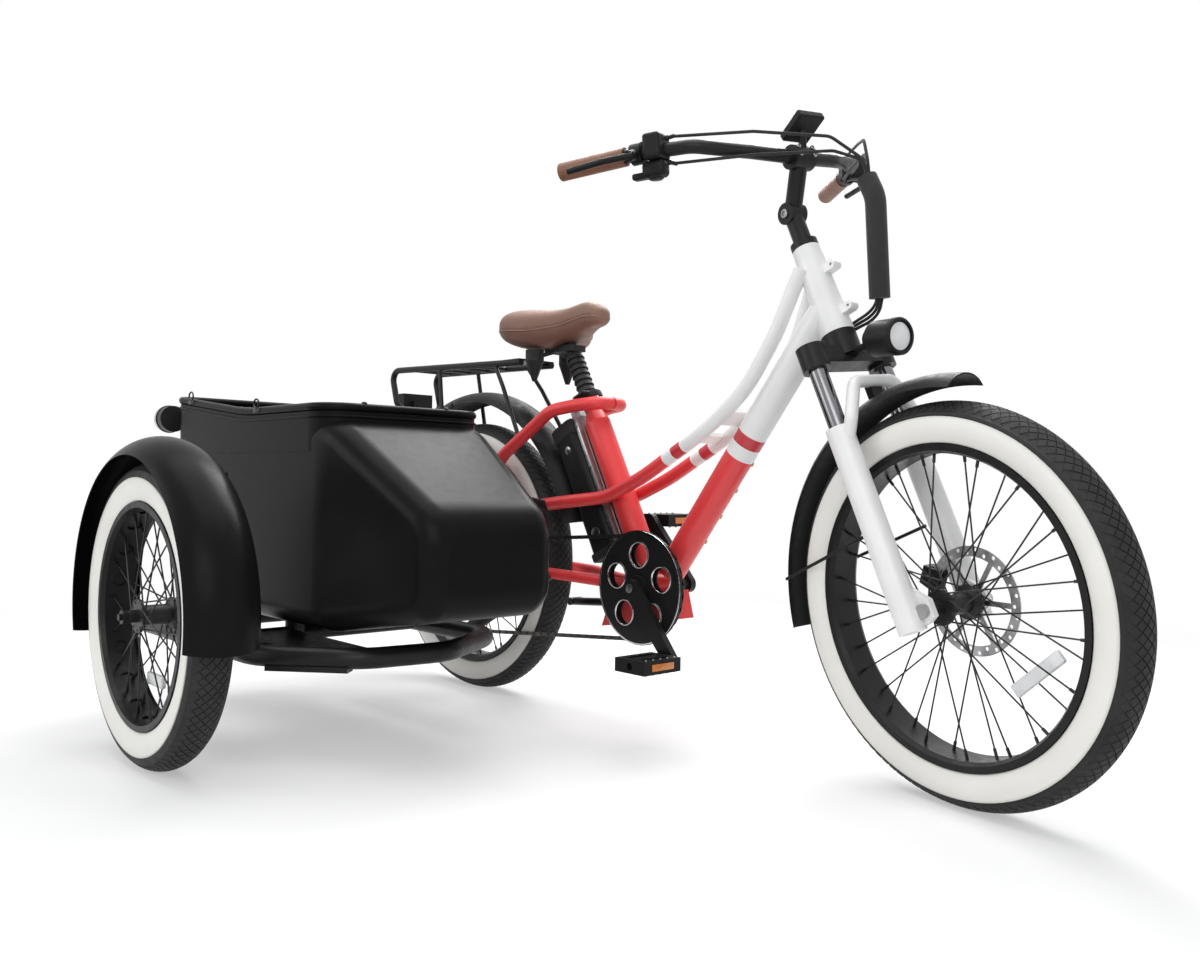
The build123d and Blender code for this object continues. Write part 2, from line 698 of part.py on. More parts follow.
def chain_loop(out):
    touch = []
    for k in range(len(CIRCLES)):
        x0, z0, r0, s0 = CIRCLES[k]
        x1, z1, r1, s1 = CIRCLES[(k + 1) % len(CIRCLES)]
        gap = math.hypot(x1 - x0, z1 - z0)
        turn = math.atan2(z1 - z0, x1 - x0) + math.asin((s0 * r0 - s1 * r1) / gap)
        right = (math.sin(turn), -math.cos(turn))
        leave = (x0 + (s0 * r0 + out) * right[0], z0 + (s0 * r0 + out) * right[1])
        reach = (x1 + (s1 * r1 + out) * right[0], z1 + (s1 * r1 + out) * right[1])
        touch.append((leave, reach))
    edges = []
    for k in range(len(CIRCLES)):
        x0, z0, r0, s0 = CIRCLES[k]
        reach = touch[k - 1][1]
        leave = touch[k][0]
        begin = math.atan2(reach[1] - z0, reach[0] - x0)
        end = math.atan2(leave[1] - z0, leave[0] - x0)
        span = (end - begin) * s0 % (2 * math.pi) * s0
        radius = math.hypot(leave[0] - x0, leave[1] - z0)
        middle = (x0 + radius * math.cos(begin + span / 2), z0 + radius * math.sin(begin + span / 2))
        edges.append(ThreePointArc(reach, middle, leave))
        edges.append(Line(leave, touch[k][1]))
    return make_face(edges)


chain_face = chain_loop(CHAIN_TALL / 2) - chain_loop(-CHAIN_TALL / 2)
nodes["chain"] = plate(chain_face, CHAIN_Y + CHAIN_HALF, 2 * CHAIN_HALF)
cage_line = (Vector(UPPER_PULLEY[0], 0, UPPER_PULLEY[1]), Vector(LOWER_PULLEY[0], 0, LOWER_PULLEY[1]))
cage_face = SlotCenterToCenter((cage_line[1] - cage_line[0]).length, 2 * CAGE_R)
cage_turn = math.degrees(math.atan2(cage_line[1].Z - cage_line[0].Z, cage_line[1].X - cage_line[0].X))
cage_mid = (cage_line[0] + cage_line[1]) / 2
cage_flat = Pos(cage_mid.X, cage_mid.Z) * Rot(0, 0, cage_turn) * cage_face
cage_in = CHAIN_Y - CHAIN_HALF - CAGE_GAP
cage_out = cage_in - CAGE_THICK
derailleur = plate(cage_flat, cage_in, CAGE_THICK)
for spot in cage_line:
    pulley_in = spot + Vector(0, CHAIN_Y + CHAIN_HALF, 0)
    derailleur += rod(pulley_in, spot + Vector(0, cage_in - CAGE_THICK / 2, 0), PULLEY_R - CHAIN_TALL / 2 - FIT)
hang = Vector(HANGER[0], -DROP_IN - CAGE_ARM_OUT, HANGER[1])
boss_in = cage_line[0] + Vector(0, cage_out + 1, 0)
derailleur += rod(boss_in, cage_line[0] + Vector(0, cage_out - CAGE_BOSS, 0), CAGE_BOSS_R)
derailleur += rod(cage_line[0] + Vector(0, cage_out - CAGE_ARM_OUT, 0), hang, CAGE_ARM_R)
nodes["derailleur"] = derailleur - drops - rod(rear_axle - axle_half, rear_axle, NUT_R + 1)

# Cranks, rings and pedals; the right crank points forward and down.
def arm_blank(angle, y_left):
    turn = math.radians(angle)
    end = (CRANK_X + CRANK_LONG * math.cos(turn), CRANK_Z + CRANK_LONG * math.sin(turn))
    side = (math.sin(turn), -math.cos(turn))
    corners = ((CRANK_X + side[0] * CRANK_BIG_R, CRANK_Z + side[1] * CRANK_BIG_R),
               (end[0] + side[0] * CRANK_SMALL_R, end[1] + side[1] * CRANK_SMALL_R),
               (end[0] - side[0] * CRANK_SMALL_R, end[1] - side[1] * CRANK_SMALL_R),
               (CRANK_X - side[0] * CRANK_BIG_R, CRANK_Z - side[1] * CRANK_BIG_R))
    face = make_face(Polyline(*corners, close=True))
    face += Pos(CRANK_X, CRANK_Z) * Circle(CRANK_BIG_R)
    face += Pos(*end) * Circle(CRANK_SMALL_R)
    return plate(face, y_left, CRANK_THICK), Vector(end[0], 0, end[1])


right_arm, right_pin = arm_blank(-CRANK_DOWN, CRANK_THICK / 2 - CRANK_Y)
left_arm, left_pin = arm_blank(180 - CRANK_DOWN, CRANK_THICK / 2 + CRANK_Y)
crank_end = CRANK_Y - CRANK_THICK / 2
spindle = rod(crank_axle - Vector(0, crank_end, 0), crank_axle + Vector(0, crank_end, 0), SPINDLE_R)
pin_far = PEDAL_IN + PEDAL_WIDE - 8
right_shaft = rod(right_pin - Vector(0, CRANK_Y, 0), right_pin - Vector(0, pin_far, 0), PEDAL_PIN_R)
left_shaft = rod(left_pin + Vector(0, CRANK_Y, 0), left_pin + Vector(0, pin_far, 0), PEDAL_PIN_R)
nodes["crank_arms"] = right_arm + left_arm + spindle + right_shaft + left_shaft
ring_root = ring_pitch - CHAIN_TALL / 2 - FIT * 2
ring_flat = Circle(ring_root)
guard_flat = Circle(GUARD_RING_R)
for k in range(GUARD_HOLES):
    hole = Rot(0, 0, k * 360 / GUARD_HOLES + 18) * Pos(GUARD_HOLE_AT, 0) * Circle(GUARD_HOLE_R)
    ring_flat -= hole
    guard_flat -= hole
ring_flat -= Circle(SPINDLE_R + FIT)
guard_flat -= Circle(SPINDLE_R + FIT)
ring_boss = Circle(RING_BOSS_R) - Circle(SPINDLE_R + FIT)
guard_face_y = GUARD_RING_Y + RING_THICK / 2
toothed = plate(ring_flat, CHAIN_Y + RING_THICK / 2, RING_THICK)
guard_plate = plate(guard_flat, guard_face_y, RING_THICK)
boss_from = CHAIN_Y - RING_THICK / 2
guard_plate += plate(ring_boss, boss_from, crank_end + boss_from)
nodes["chainring"] = Pos(*crank_axle) * (guard_plate + toothed)


def pedal(pin, side):
    outer = Box(PEDAL_DEEP, PEDAL_WIDE, PEDAL_TALL)
    gap = (PEDAL_DEEP - 2 * PEDAL_BAR - PEDAL_MID) / 2
    for end in (-1, 1):
        outer -= Pos(end * (PEDAL_MID + gap) / 2, 0, 0) * Box(gap, PEDAL_WIDE - 2 * PEDAL_BAR, 2 * PEDAL_TALL)
    outer -= rod((0, -PEDAL_WIDE, 0), (0, PEDAL_WIDE / 2 * 0.99 * 2, 0), PEDAL_PIN_R + SHAFT_FIT)
    return Pos(pin.X, side * (PEDAL_IN + PEDAL_WIDE / 2), pin.Z) * outer


nodes["pedal_right"] = pedal(right_pin, -1)
nodes["pedal_left"] = pedal(left_pin, 1)

# Rear mudguard on its stays.
rear_guard = Pos(*rear_axle) * guard_shell(REAR_GUARD)
guard_rods = []
for angle in REAR_STAY_ANGLES:
    top_r = REAR_GUARD["radius"] - REAR_GUARD["skirt"] + GUARD_STAY_IN
    top = polar(rear_axle, top_r, angle, GUARD_STAY_R - REAR_GUARD["half"])
    eye = polar(rear_axle, FREEWHEEL_R + 2 * GUARD_STAY_R, angle, GUARD_STAY_R + FIT - DROP_IN)
    guard_rods.append(rod(eye, top, GUARD_STAY_R))
for stay_rod in guard_rods:
    rear_guard += stay_rod
    rear_guard += flip(stay_rod)
nodes["rear_mudguard"] = rear_guard

# Rack, its legs to the dropouts and its front struts to the seat hoop.
rack_low = Vector(RACK_REAR + RACK_TUCK, 0, RACK_Z - RACK_DROP)


def on_rack(x):
    share = (x - RACK_REAR) / (RACK_FRONT - RACK_REAR)
    half = RACK_HALF + (RACK_NOSE - RACK_HALF) * share
    return Vector(x, -half, RACK_Z + (RACK_FRONT_Z - RACK_Z) * share)


low_side = Vector(0, RACK_HALF, 0)
right_rail = (on_rack(RACK_FRONT), on_rack(RACK_REAR), rack_low - low_side)
left_rail = tuple(Vector(spot.X, -spot.Y, spot.Z) for spot in reversed(right_rail))
rack = pipe(right_rail + left_rail, RACK_R, RACK_BEND)
for x in RACK_SLATS:
    end = on_rack(x)
    rack += rod(end, (end.X, -end.Y, end.Z), SLAT_R)
plate_at = on_rack((RACK_FRONT + RACK_PLATE) / 2)
plate_size = (RACK_FRONT - RACK_PLATE, 2 * (RACK_NOSE + RACK_PLATE_SPARE), RACK_PLATE_THICK)
rack += Pos(plate_at.X, 0, plate_at.Z + RACK_R - RACK_PLATE_THICK / 2) * Box(*plate_size)
leg_out = DROP_IN + DROP_THICK + LEG_ROD + FIT
leg_foot = polar(rear_axle, DROP_R - LEG_ROD / 2, LEG_FOOT_AT, -leg_out)
for leg in (rod(on_rack(RACK_LEG), leg_foot, LEG_ROD),
            pipe((on_rack(STRUT_FROM),) + STRUT_RUN, LEG_ROD, STRUT_BEND)):
    rack += leg
    rack += flip(leg)
nodes["rear_rack"] = rack - hoop
tail_out = rack_low.X - RACK_R - TAIL_DEEP / 2
tail = Pos(tail_out, 0, rack_low.Z + TAIL_TALL / 2) * Box(TAIL_DEEP, TAIL_WIDE, TAIL_TALL)
tail_foot = Pos(rack_low.X, 0, rack_low.Z + 2 * RACK_R + FIT) * Box(2 * RACK_R, TAIL_WIDE / 2, 2 * RACK_R)
nodes["tail_lamp"] = tail + tail_foot - rack

# Kickstand.
stand_foot = Vector(STAND_FOOT)
leg = rod(stand_pivot, stand_foot, STAND_R) + Solid.make_sphere(STAND_R).moved(Pos(*stand_pivot))
leg += rod(stand_foot - Vector(0, STAND_TOE_IN, 0), stand_foot + Vector(0, STAND_TOE_OUT, 0), STAND_R)
pin_bore = rod(stand_pivot - stand_reach, stand_pivot + stand_reach, STAND_PIN_R + SHAFT_FIT)
nodes["kickstand"] = leg - pin_bore

# Fork, in the steering frame.
crown_mid = CROWN_LOW + CROWN_THICK / 2
crown = head_plane * Pos(0, 0, crown_mid) * Box(CROWN_DEEP, 2 * LEG_Y, CROWN_BEAM)
for y in (-LEG_Y, LEG_Y):
    crown += rod(steer(0, y, CROWN_LOW), steer(0, y, CROWN_LOW + CROWN_THICK), CROWN_R)
crown += rod(steer(0, 0, crown_mid), steer(0, 0, HEAD_LOW - FIT), HEAD_R_LOW)
crown += rod(steer(0, 0, HEAD_LOW - 4), steer(0, 0, STEERER_TOP), STEERER_R)
legs = []
for y in (-LEG_Y, LEG_Y):
    leg = rod(steer(0, y, LEG_LOW), steer(0, y, LOWER_TOP), LEG_R)
    inner = y - math.copysign(LEG_Y - FORK_HALF, y)
    tab = make_face(Polyline((-TAB_BACK, TAB_UP), (TAB_BACK, TAB_UP), (FORK_OFFSET + TAB_R, TAB_BACK),
                             (FORK_OFFSET + TAB_R, -TAB_BACK), (FORK_OFFSET, -TAB_LOW), (-TAB_BACK, LEG_LOW),
                             close=True))
    tab_plane = Plane(origin=head_base, x_dir=head_forward, z_dir=(0, -1, 0))
    y_left = inner if y < 0 else inner + TAB_THICK
    leg += extrude(tab_plane.offset(-y_left) * tab, TAB_THICK)
    leg -= rod(front_axle - Vector(0, 200, 0), front_axle + Vector(0, 200, 0), AXLE_R + SHAFT_FIT)
    legs.append(leg)
arch = pipe((steer(0, -LEG_Y, LOWER_TOP - 40), steer(ARCH_F, -LEG_Y + 2, LOWER_TOP + 4),
             steer(ARCH_F + 6, -LEG_Y + 32, ARCH_TOP), steer(ARCH_F + 6, LEG_Y - 32, ARCH_TOP),
             steer(ARCH_F, LEG_Y - 2, LOWER_TOP + 4), steer(0, LEG_Y, LOWER_TOP - 40)), ARCH_R, 20)
lowers = legs[0] + legs[1] + arch
stanchions = [rod(steer(0, y, LOWER_TOP - 60), steer(0, y, CROWN_LOW), STANCHION_R) for y in (-LEG_Y, LEG_Y)]
for y in (-LEG_Y, LEG_Y):
    lowers -= rod(steer(0, y, LOWER_TOP - 61), steer(0, y, LOWER_TOP + 80), STANCHION_R + SHAFT_FIT)
fork_out = Vector(0, FORK_HALF + TAB_THICK, 0)
fork_end = fork_out + Vector(0, FORK_NUT, 0)
axle_front = rod(front_axle - fork_end, front_axle + fork_end, AXLE_R)
front_nut = rod(front_axle + fork_out, front_axle + fork_out + Vector(0, NUT_TALL, 0), NUT_R)
legs_solid = legs[0] + legs[1]
steered = {}
steered["fork_crown"] = crown
steered["fork_stanchions"] = bundle(*stanchions)
steered["fork_lowers"] = lowers
steered["front_axle"] = largest(axle_front + ((front_nut + flip(front_nut)) - legs_solid))

# Front mudguard, hung from the fork arch and stayed to the legs.
front_guard = Pos(*front_axle) * guard_shell(FRONT_GUARD)
hanger_low = FRONT_GUARD["radius"] - HANGER_DEEP
hanger_tall = ARCH_TOP - hanger_low
hanger = head_plane * Pos(ARCH_F, 0, hanger_low + hanger_tall / 2) * Box(HANGER_DEEP, HANGER_WIDE, hanger_tall)
front_guard += hanger - arch - Pos(*front_axle) * guard_room(FRONT_GUARD)
foot_r = FRONT_GUARD["radius"] - FRONT_GUARD["skirt"] + GUARD_STAY_IN
guard_foot = polar(front_axle, foot_r, FRONT_STAY, -FRONT_GUARD["half"])
leg_eye = steer(-LEG_R - GUARD_STAY_R - FIT, -LEG_Y + 12, LEG_EYE)
guard_rod = rod(guard_foot, leg_eye, GUARD_STAY_R)
front_guard += guard_rod
front_guard += flip(guard_rod)
steered["front_mudguard"] = front_guard - legs_solid

# Stem, bar, grips and controls.
knuckle = steer(0, 0, KNUCKLE_S)
clamp = steer(CLAMP_F, 0, CLAMP_S)
across = Vector(0, CLAMP_WIDE / 2, 0)
stem = rod(steer(0, 0, HEAD_LOW + HEAD_LONG + FIT), steer(0, 0, HEAD_LOW + HEAD_LONG + 14), HEAD_R_TOP)
stem += rod(steer(0, 0, HEAD_LOW + HEAD_LONG + 10), knuckle, KNUCKLE_R)
stem += rod(knuckle - across * 0.8, knuckle + across * 0.8, KNUCKLE_R + 3)
stem += rod(knuckle, clamp, KNUCKLE_R - 1)
stem += rod(clamp - across, clamp + across, CLAMP_R)
stem -= rod(steer(0, 0, HEAD_LOW), steer(0, 0, STEERER_TOP + 1), STEERER_R + SHAFT_FIT)
bar_run = tuple(clamp + Vector(spot) for spot in BAR_BENDS)
bar_half = pipe((clamp,) + bar_run, BAR_R, BAR_FILLET)
bar = bar_half + flip(bar_half)
steered["stem"] = stem - bar
steered["handlebar"] = bar
bar_end = bar_run[-1]
grip_way = (bar_end - bar_run[-2]).normalized()
grip_from = bar_end - grip_way * GRIP_LONG
grip_bore = rod(grip_from - grip_way, bar_end + grip_way * FIT, BAR_R + FIT)
grip = rod(grip_from, bar_end + grip_way * GRIP_CAP, GRIP_R) - grip_bore
steered["grips"] = bundle(grip, flip(grip))
collar_at = grip_from - grip_way * 26
lever_side = grip_way.cross(Vector(0, 0, 1)).normalized()
lever_root = collar_at + lever_side * LEVER_OUT - Vector(0, 0, LEVER_DROP)
collar = rod(collar_at - grip_way * 11, collar_at + grip_way * 11, BAR_R + 7)
lever = collar + rod(collar_at, lever_root, 10)
lever += pipe((lever_root - grip_way * 10, lever_root + grip_way * 50 + lever_side * 6,
               lever_root + grip_way * 128 - lever_side * 4), 6, 60)
lever -= rod(collar_at - grip_way * 40, collar_at + grip_way * 12, BAR_R + FIT)
lever -= bar
pod_at = collar_at - grip_way * 36
pod_plane = Plane(origin=pod_at, x_dir=grip_way, z_dir=Vector(0, 0, 1))
pod = pod_plane * Pos(0, 0, 4) * Box(34, 50, 46)
pod = fillet(pod.edges(), 7) - bar
screen_mid = clamp + Vector(SCREEN_AT)
screen_plane = Plane(origin=screen_mid, x_dir=(0, 1, 0), z_dir=SCREEN_FACE)
screen = screen_plane * Box(SCREEN_WIDE, SCREEN_TALL, SCREEN_THICK)
screen = fillet(screen.edges(), 4)
screen += rod(screen_mid, clamp + Vector(0, SCREEN_AT[1], 0), 7)
steered["hand_controls"] = bundle(lever, flip(lever), pod, flip(pod), largest(screen - bar - stem))

# Head lamp on the fork crown.
lamp_mid = steer(LAMP_F, 0, LAMP_S)
lamp_way = Vector(1, 0, 0)
headlamp = rod(lamp_mid - lamp_way * 30, lamp_mid + lamp_way * 22, LAMP_R)
headlamp += taper(lamp_mid - lamp_way * 46, lamp_mid - lamp_way * 30, LAMP_R * 0.6, LAMP_R)
headlamp += rod(lamp_mid - lamp_way * 30, steer(CROWN_DEEP / 2 - 2, 0, crown_mid), 7)
steered["headlamp"] = headlamp - crown

# Brake calipers.
def caliper(centre, angle):
    face = make_face(Polyline((-20, -20), (20, -20), (16, 16), (-16, 16), close=True))
    body = plate(face, DISC_Y + CALIPER_OUT, CALIPER_OUT + CALIPER_IN)
    body = Pos(DISC_R, 0, 0) * Rot(0, 90, 0) * body
    body -= Pos(DISC_R - 14, DISC_Y, 0) * Box(40, DISC_THICK + 2 * CALIPER_GAP, 80)
    body = body.rotate(Axis.Y, -angle)
    return Pos(*centre) * body


steered["front_caliper"] = caliper(front_axle, FRONT_CALIPER) - legs_solid
adapter_low = DISC_Y + CALIPER_OUT - CALIPER_GAP
adapter_face = Pos((ADAPTER_IN + DISC_R) / 2, 0) * Rectangle(DISC_R - ADAPTER_IN, ADAPTER_WIDE)
adapter = plate(Rot(0, 0, REAR_CALIPER) * adapter_face, DROP_IN - FIT, DROP_IN - FIT - adapter_low)
rear_caliper = caliper(rear_axle, REAR_CALIPER) + Pos(*rear_axle) * adapter
nodes["rear_caliper"] = rear_caliper - twins[1] - hoop

# Cable sleeve in front of the steering head, with its cables.
sleeve = pipe(tuple(steer(*spot) for spot in SLEEVE_RUN), SLEEVE_R, 60)

turned = {name: shape.rotate(steer_axis, PARKED_STEER) for name, shape in steered.items()}
nodes.update(turned)
for name in ("front_tyre", "front_whitewalls", "front_rim", "front_hub", "front_disc"):
    nodes[name] = nodes[name].rotate(steer_axis, PARKED_STEER)

# Sidecar tub: side outline and plan outline, both drawn in from the outer skin by a chosen inset.
def rounded(rows):
    face = make_face(Polyline(*((x, v) for x, v, _ in rows), close=True))
    for x, v, radius in rows:
        if radius:
            face = fillet(face.vertices().sort_by_distance((x, v, 0))[0], radius)
    return face


chin_z = TUB_FLOOR + TUB_KICK
nose_wall = (TUB_HOOD - chin_z) * TUB_BROW_SHARE
brow_z = chin_z + nose_wall
rim_z = TUB_HOOD + TUB_RIM_UP
rim_rear_z = rim_z + TUB_REAR_UP
rim_slope = TUB_REAR_UP / (TUB_RISE_FROM - TUB_REAR)


def tub_blank(inset, edge):
    side = rounded(((TUB_REAR, TUB_HOOD, 0), (TUB_REAR, TUB_FLOOR, 0), (TUB_FLAT_END, TUB_FLOOR, TUB_EASE),
                    (TUB_NOSE, chin_z, TUB_CHIN), (TUB_NOSE, brow_z, nose_wall * TUB_BROW_ROUND),
                    (TUB_COAMING, TUB_HOOD, TUB_HOOD_EASE)))
    far = TUB_NOSE + TUB_CORNER
    plan = rounded(((TUB_REAR, TUB_IN, TUB_CORNER), (TUB_REAR, TUB_OUT, TUB_CORNER),
                    (TUB_FLAT_END, TUB_OUT, TUB_EASE), (far, TUB_OUT + TUB_NOSE_IN, 0),
                    (far, TUB_IN - TUB_NOSE_IN, 0), (TUB_FLAT_END, TUB_IN, TUB_EASE)))
    if inset:
        side = offset(side, -inset)
        plan = offset(plan, -inset)
    long = extrude(side_plane * side, abs(TUB_OUT) * 2, both=True)
    tall = extrude(plan, 2 * rim_rear_z)
    body = long & tall
    front = TUB_NOSE - inset - 2
    walls = [face for face in body.faces() if abs(face.normal_at().Z) < 0.01 and face.center().X < front]
    rims = []
    for face in walls:
        for line in face.edges():
            upright = abs((line % 0.5).Z) > 0.99 and (line @ 0.5).X < front
            if not upright and not any(line.is_same(kept) for kept in rims):
                rims.append(line)
    return fillet(rims, edge)


def tub_ring(inset):
    mid_x = (TUB_REAR + TUB_COAMING) / 2
    mid_y = (TUB_OUT + TUB_IN) / 2
    inset -= TUB_BAND
    long = TUB_COAMING - TUB_REAR - 2 * inset
    wide = TUB_IN - TUB_OUT - 2 * inset
    flat = RectangleRounded(long, wide, TUB_CORNER - inset)
    band_low = TUB_HOOD - TUB_BAND_DEEP
    return Pos(mid_x, mid_y, band_low) * extrude(flat, rim_rear_z + TUB_SPARE - band_low)


lip_z = rim_z - RIM_TUBE_R - FIT
lip_rear_z = lip_z + rim_slope * (TUB_RISE_FROM - TUB_REAR + TUB_SPARE)
lip_front, lip_back, lip_top = TUB_COAMING + TUB_SPARE, TUB_REAR - TUB_SPARE, rim_rear_z + 2 * TUB_SPARE
above = rounded(((lip_front, lip_z, 0), (TUB_RISE_FROM, lip_z, TUB_RISE_BEND), (lip_back, lip_rear_z, 0),
                 (lip_back, lip_top, 0), (lip_front, lip_top, 0)))
above_rim = extrude(side_plane * above, abs(TUB_OUT) * 2, both=True)
tub_skin = tub_blank(0, TUB_EDGE) + (tub_ring(0) - above_rim)
tub_room = tub_blank(TUB_WALL, TUB_EDGE - TUB_WALL) + tub_ring(TUB_WALL)


def rim_path(radius):
    edge = TUB_WALL / 2
    front, rear, out, inn = TUB_COAMING - edge, TUB_REAR + edge, TUB_OUT + edge, TUB_IN - edge
    mid = (out + inn) / 2
    rear_z = rim_z + rim_slope * (TUB_RISE_FROM - rear)
    corner = TUB_CORNER - edge
    half = pipe(((front, mid, rim_z), (front, out, rim_z), (TUB_RISE_FROM, out, rim_z), (rear, out, rear_z),
                 (rear, mid, rear_z)), radius, (corner, TUB_RISE_BEND, corner))
    return half + mirror(half, about=Plane.XZ.offset(-mid))


nodes["sidecar_tub"] = tub_skin - tub_room
nodes["tub_rim"] = rim_path(RIM_TUBE_R)
seat_x = TUB_REAR + TUB_WALL + BENCH_GAP
bench_y = (TUB_IN + TUB_OUT) / 2
bench = Pos(seat_x + BENCH_LONG / 2, bench_y, TUB_FLOOR + TUB_WALL + BENCH_TALL / 2) * Box(
    BENCH_LONG, BENCH_WIDE, BENCH_TALL)
bench = fillet(bench.edges(), BENCH_EDGE)
back_z = TUB_FLOOR + TUB_WALL + BENCH_TALL + FIT + BACK_TALL / 2
back = Pos(seat_x + BACK_THICK / 2, bench_y, back_z) * Box(BACK_THICK, BENCH_WIDE, BACK_TALL)
seat_room = tub_blank(TUB_WALL + FIT, TUB_EDGE - TUB_WALL - FIT)
nodes["sidecar_seat"] = bundle(bench & seat_room, fillet(back.edges(), BENCH_EDGE) & seat_room)
lamp_place = Vector(TUB_REAR - SIDE_LAMP_BACK, TUB_OUT + SIDE_LAMP_IN, rim_z)
side_lamp = rod(lamp_place, lamp_place - Vector(SIDE_LAMP_DEEP, 0, 0), SIDE_LAMP_R)
lamp_hold = Vector(TUB_REAR - LAMP_FOOT, lamp_place.Y + LAMP_ARM, lamp_place.Z)
side_lamp += rod(lamp_place - Vector(SIDE_LAMP_DEEP / 2, 0, 0), lamp_hold, LAMP_ARM_R)
side_lamp += rod(lamp_hold, lamp_hold + Vector(LAMP_FOOT + TUB_WALL / 2, 0, 0), LAMP_FOOT_R)
nodes["sidecar_lamp"] = side_lamp - tub_skin

# Chassis: a bent rail round the tub, two cross tubes, mounting pads and the upright of the wheel.
rail_points = tuple((x, y, CHASSIS_Z) for x, y in CHASSIS_RUN)
rail_loop = pipe(rail_points, CHASSIS_R, CHASSIS_BENDS)
rail_out = CHASSIS_RUN[0][1]
rail_in = CHASSIS_RUN[-1][1]
chassis = rail_loop
for x in CROSS_STATIONS:
    chassis += rod((x, rail_out, CHASSIS_Z), (x, rail_in, CHASSIS_Z), CROSS_R)
    for y in PAD_ROWS:
        chassis += rod((x, y, CHASSIS_Z), (x, y, TUB_FLOOR), PAD_R)
upright_size = (UPRIGHT_LONG, UPRIGHT_THICK, UPRIGHT_TOP - CHASSIS_Z)
upright = Pos(SIDE_WHEEL_X, rail_out, (CHASSIS_Z + UPRIGHT_TOP) / 2) * Box(*upright_size)
chassis += upright
hub_in = SIDE_WHEEL_Y + SMALL["over_half"]
hub_out = SIDE_WHEEL_Y - SMALL["over_half"]
stub_z = side_axle.Z
stub = rod((SIDE_WHEEL_X, rail_out - UPRIGHT_THICK / 2, stub_z), (SIDE_WHEEL_X, hub_in, stub_z), STUB_R)
stub += rod((SIDE_WHEEL_X, hub_in, stub_z), (SIDE_WHEEL_X, hub_out - 14, stub_z), AXLE_R)
stub += rod((SIDE_WHEEL_X, hub_out, stub_z), (SIDE_WHEEL_X, hub_out - 9, stub_z), STUB_R)

guard_mid = side_axle + Vector(SIDE_GUARD_AT)
side_guard = Pos(*guard_mid) * guard_shell(SIDE_GUARD)
for angle in SIDE_STAY_ANGLES:
    skirt_y = SIDE_WHEEL_Y + SIDE_GUARD["half"] - STAY_ROD
    eye = polar(guard_mid, SIDE_GUARD["radius"] - SIDE_GUARD["skirt"] + STAY_ROD, angle, skirt_y)
    lean_to = math.copysign(UPRIGHT_LONG / 4, eye.X - SIDE_WHEEL_X)
    root = Vector(SIDE_WHEEL_X + lean_to, rail_out, UPRIGHT_TOP - UPRIGHT_THICK)
    side_guard += rod(root, eye, STAY_ROD) - upright
nodes["sidecar_mudguard"] = side_guard

step_face = make_face(Polyline(*STEP_RUN, close=True))
for x, y in STEP_SLOTS:
    step_face -= Pos(x, y) * SlotOverall(STEP_SLOT_LONG, STEP_SLOT_WIDE)
step = Pos(0, 0, CHASSIS_Z + STEP_UP - STEP_THICK / 2) * extrude(step_face, STEP_THICK)
skid_z = CHASSIS_Z - CHASSIS_R
skid = Pos(*SKID_AT, skid_z) * Rot(0, 0, SKID_TURN) * Box(SKID_LONG, SKID_WIDE, SKID_THICK)
nodes["sidecar_chassis"] = chassis + stub + step + skid

struts = []
eye_y = -DROP_IN - DROP_THICK - 9
rear_eye = rod((0, eye_y - FIT, rear_axle.Z), (0, eye_y - 2 * EYE_THICK, rear_axle.Z), EYE_R)
rear_eye += rod((0, eye_y - 2 * EYE_THICK, rear_axle.Z), (REAR_STRUT_X, rail_in, CHASSIS_Z), STRUT_R)
rear_eye -= rod((0, 0, rear_axle.Z), (0, -120, rear_axle.Z), AXLE_R + FIT)
struts.append(rear_eye - rail_loop)
low_strut = rod(LOW_STRUT, (LOW_STRUT[0] - 30, rail_in, CHASSIS_Z), STRUT_R)
struts.append(largest(low_strut - rail_loop - stay))
high_end = Vector(HIGH_STRUT[0], TUB_IN, HIGH_STRUT[2] + HIGH_RISE)
high_strut = rod(HIGH_STRUT, high_end, STRUT_R)
high_strut += rod(high_end + Vector(0, EYE_THICK, 0), high_end, EYE_R)
struts.append(largest(high_strut - tub_skin - twins[0]))
nodes["sidecar_struts"] = bundle(*struts)

# Cables: from the controls to the sleeve, and from the sleeve into the frame.
sleeve_top = steer(*SLEEVE_RUN[0])
cables = []
for row in CABLE_ROWS:
    mouth = sleeve_top + Vector(0, row[-1][1] / CABLE_GATHER, 0)
    path = [clamp + Vector(spot) for spot in row]
    path += [mouth + Vector(0, 0, CABLE_DROP), mouth + Vector(0, 0, 1)]
    cables.append(pipe(path, CABLE_R, CABLE_BEND))
nodes["cable_sleeve"] = bundle(sleeve, *cables).rotate(steer_axis, PARKED_STEER)
sleeve_parked = sleeve.rotate(steer_axis, PARKED_STEER)
sleeve_end = parked(steer(*SLEEVE_RUN[-1]))
cable_side = steer(CABLE_SIDE[0], CABLE_SIDE[1], HEAD_LOW + CABLE_SIDE[2])
cable_port = down_top - down_way * CABLE_PORT + Vector(0, CABLE_PORT_Y, 0)
frame_cables = []
for y, rise in FRAME_CABLES:
    spread = Vector(0, y, 0)
    sag = Vector(0, 0, -rise)
    path = (sleeve_end + spread, sleeve_end + spread + Vector(*CABLE_FALL) + sag,
            cable_side + sag, cable_port + sag)
    frame_cables.append(pipe(path, CABLE_R, CABLE_BEND / 2) - down - sleeve_parked)
nodes["frame_cables"] = bundle(*frame_cables)

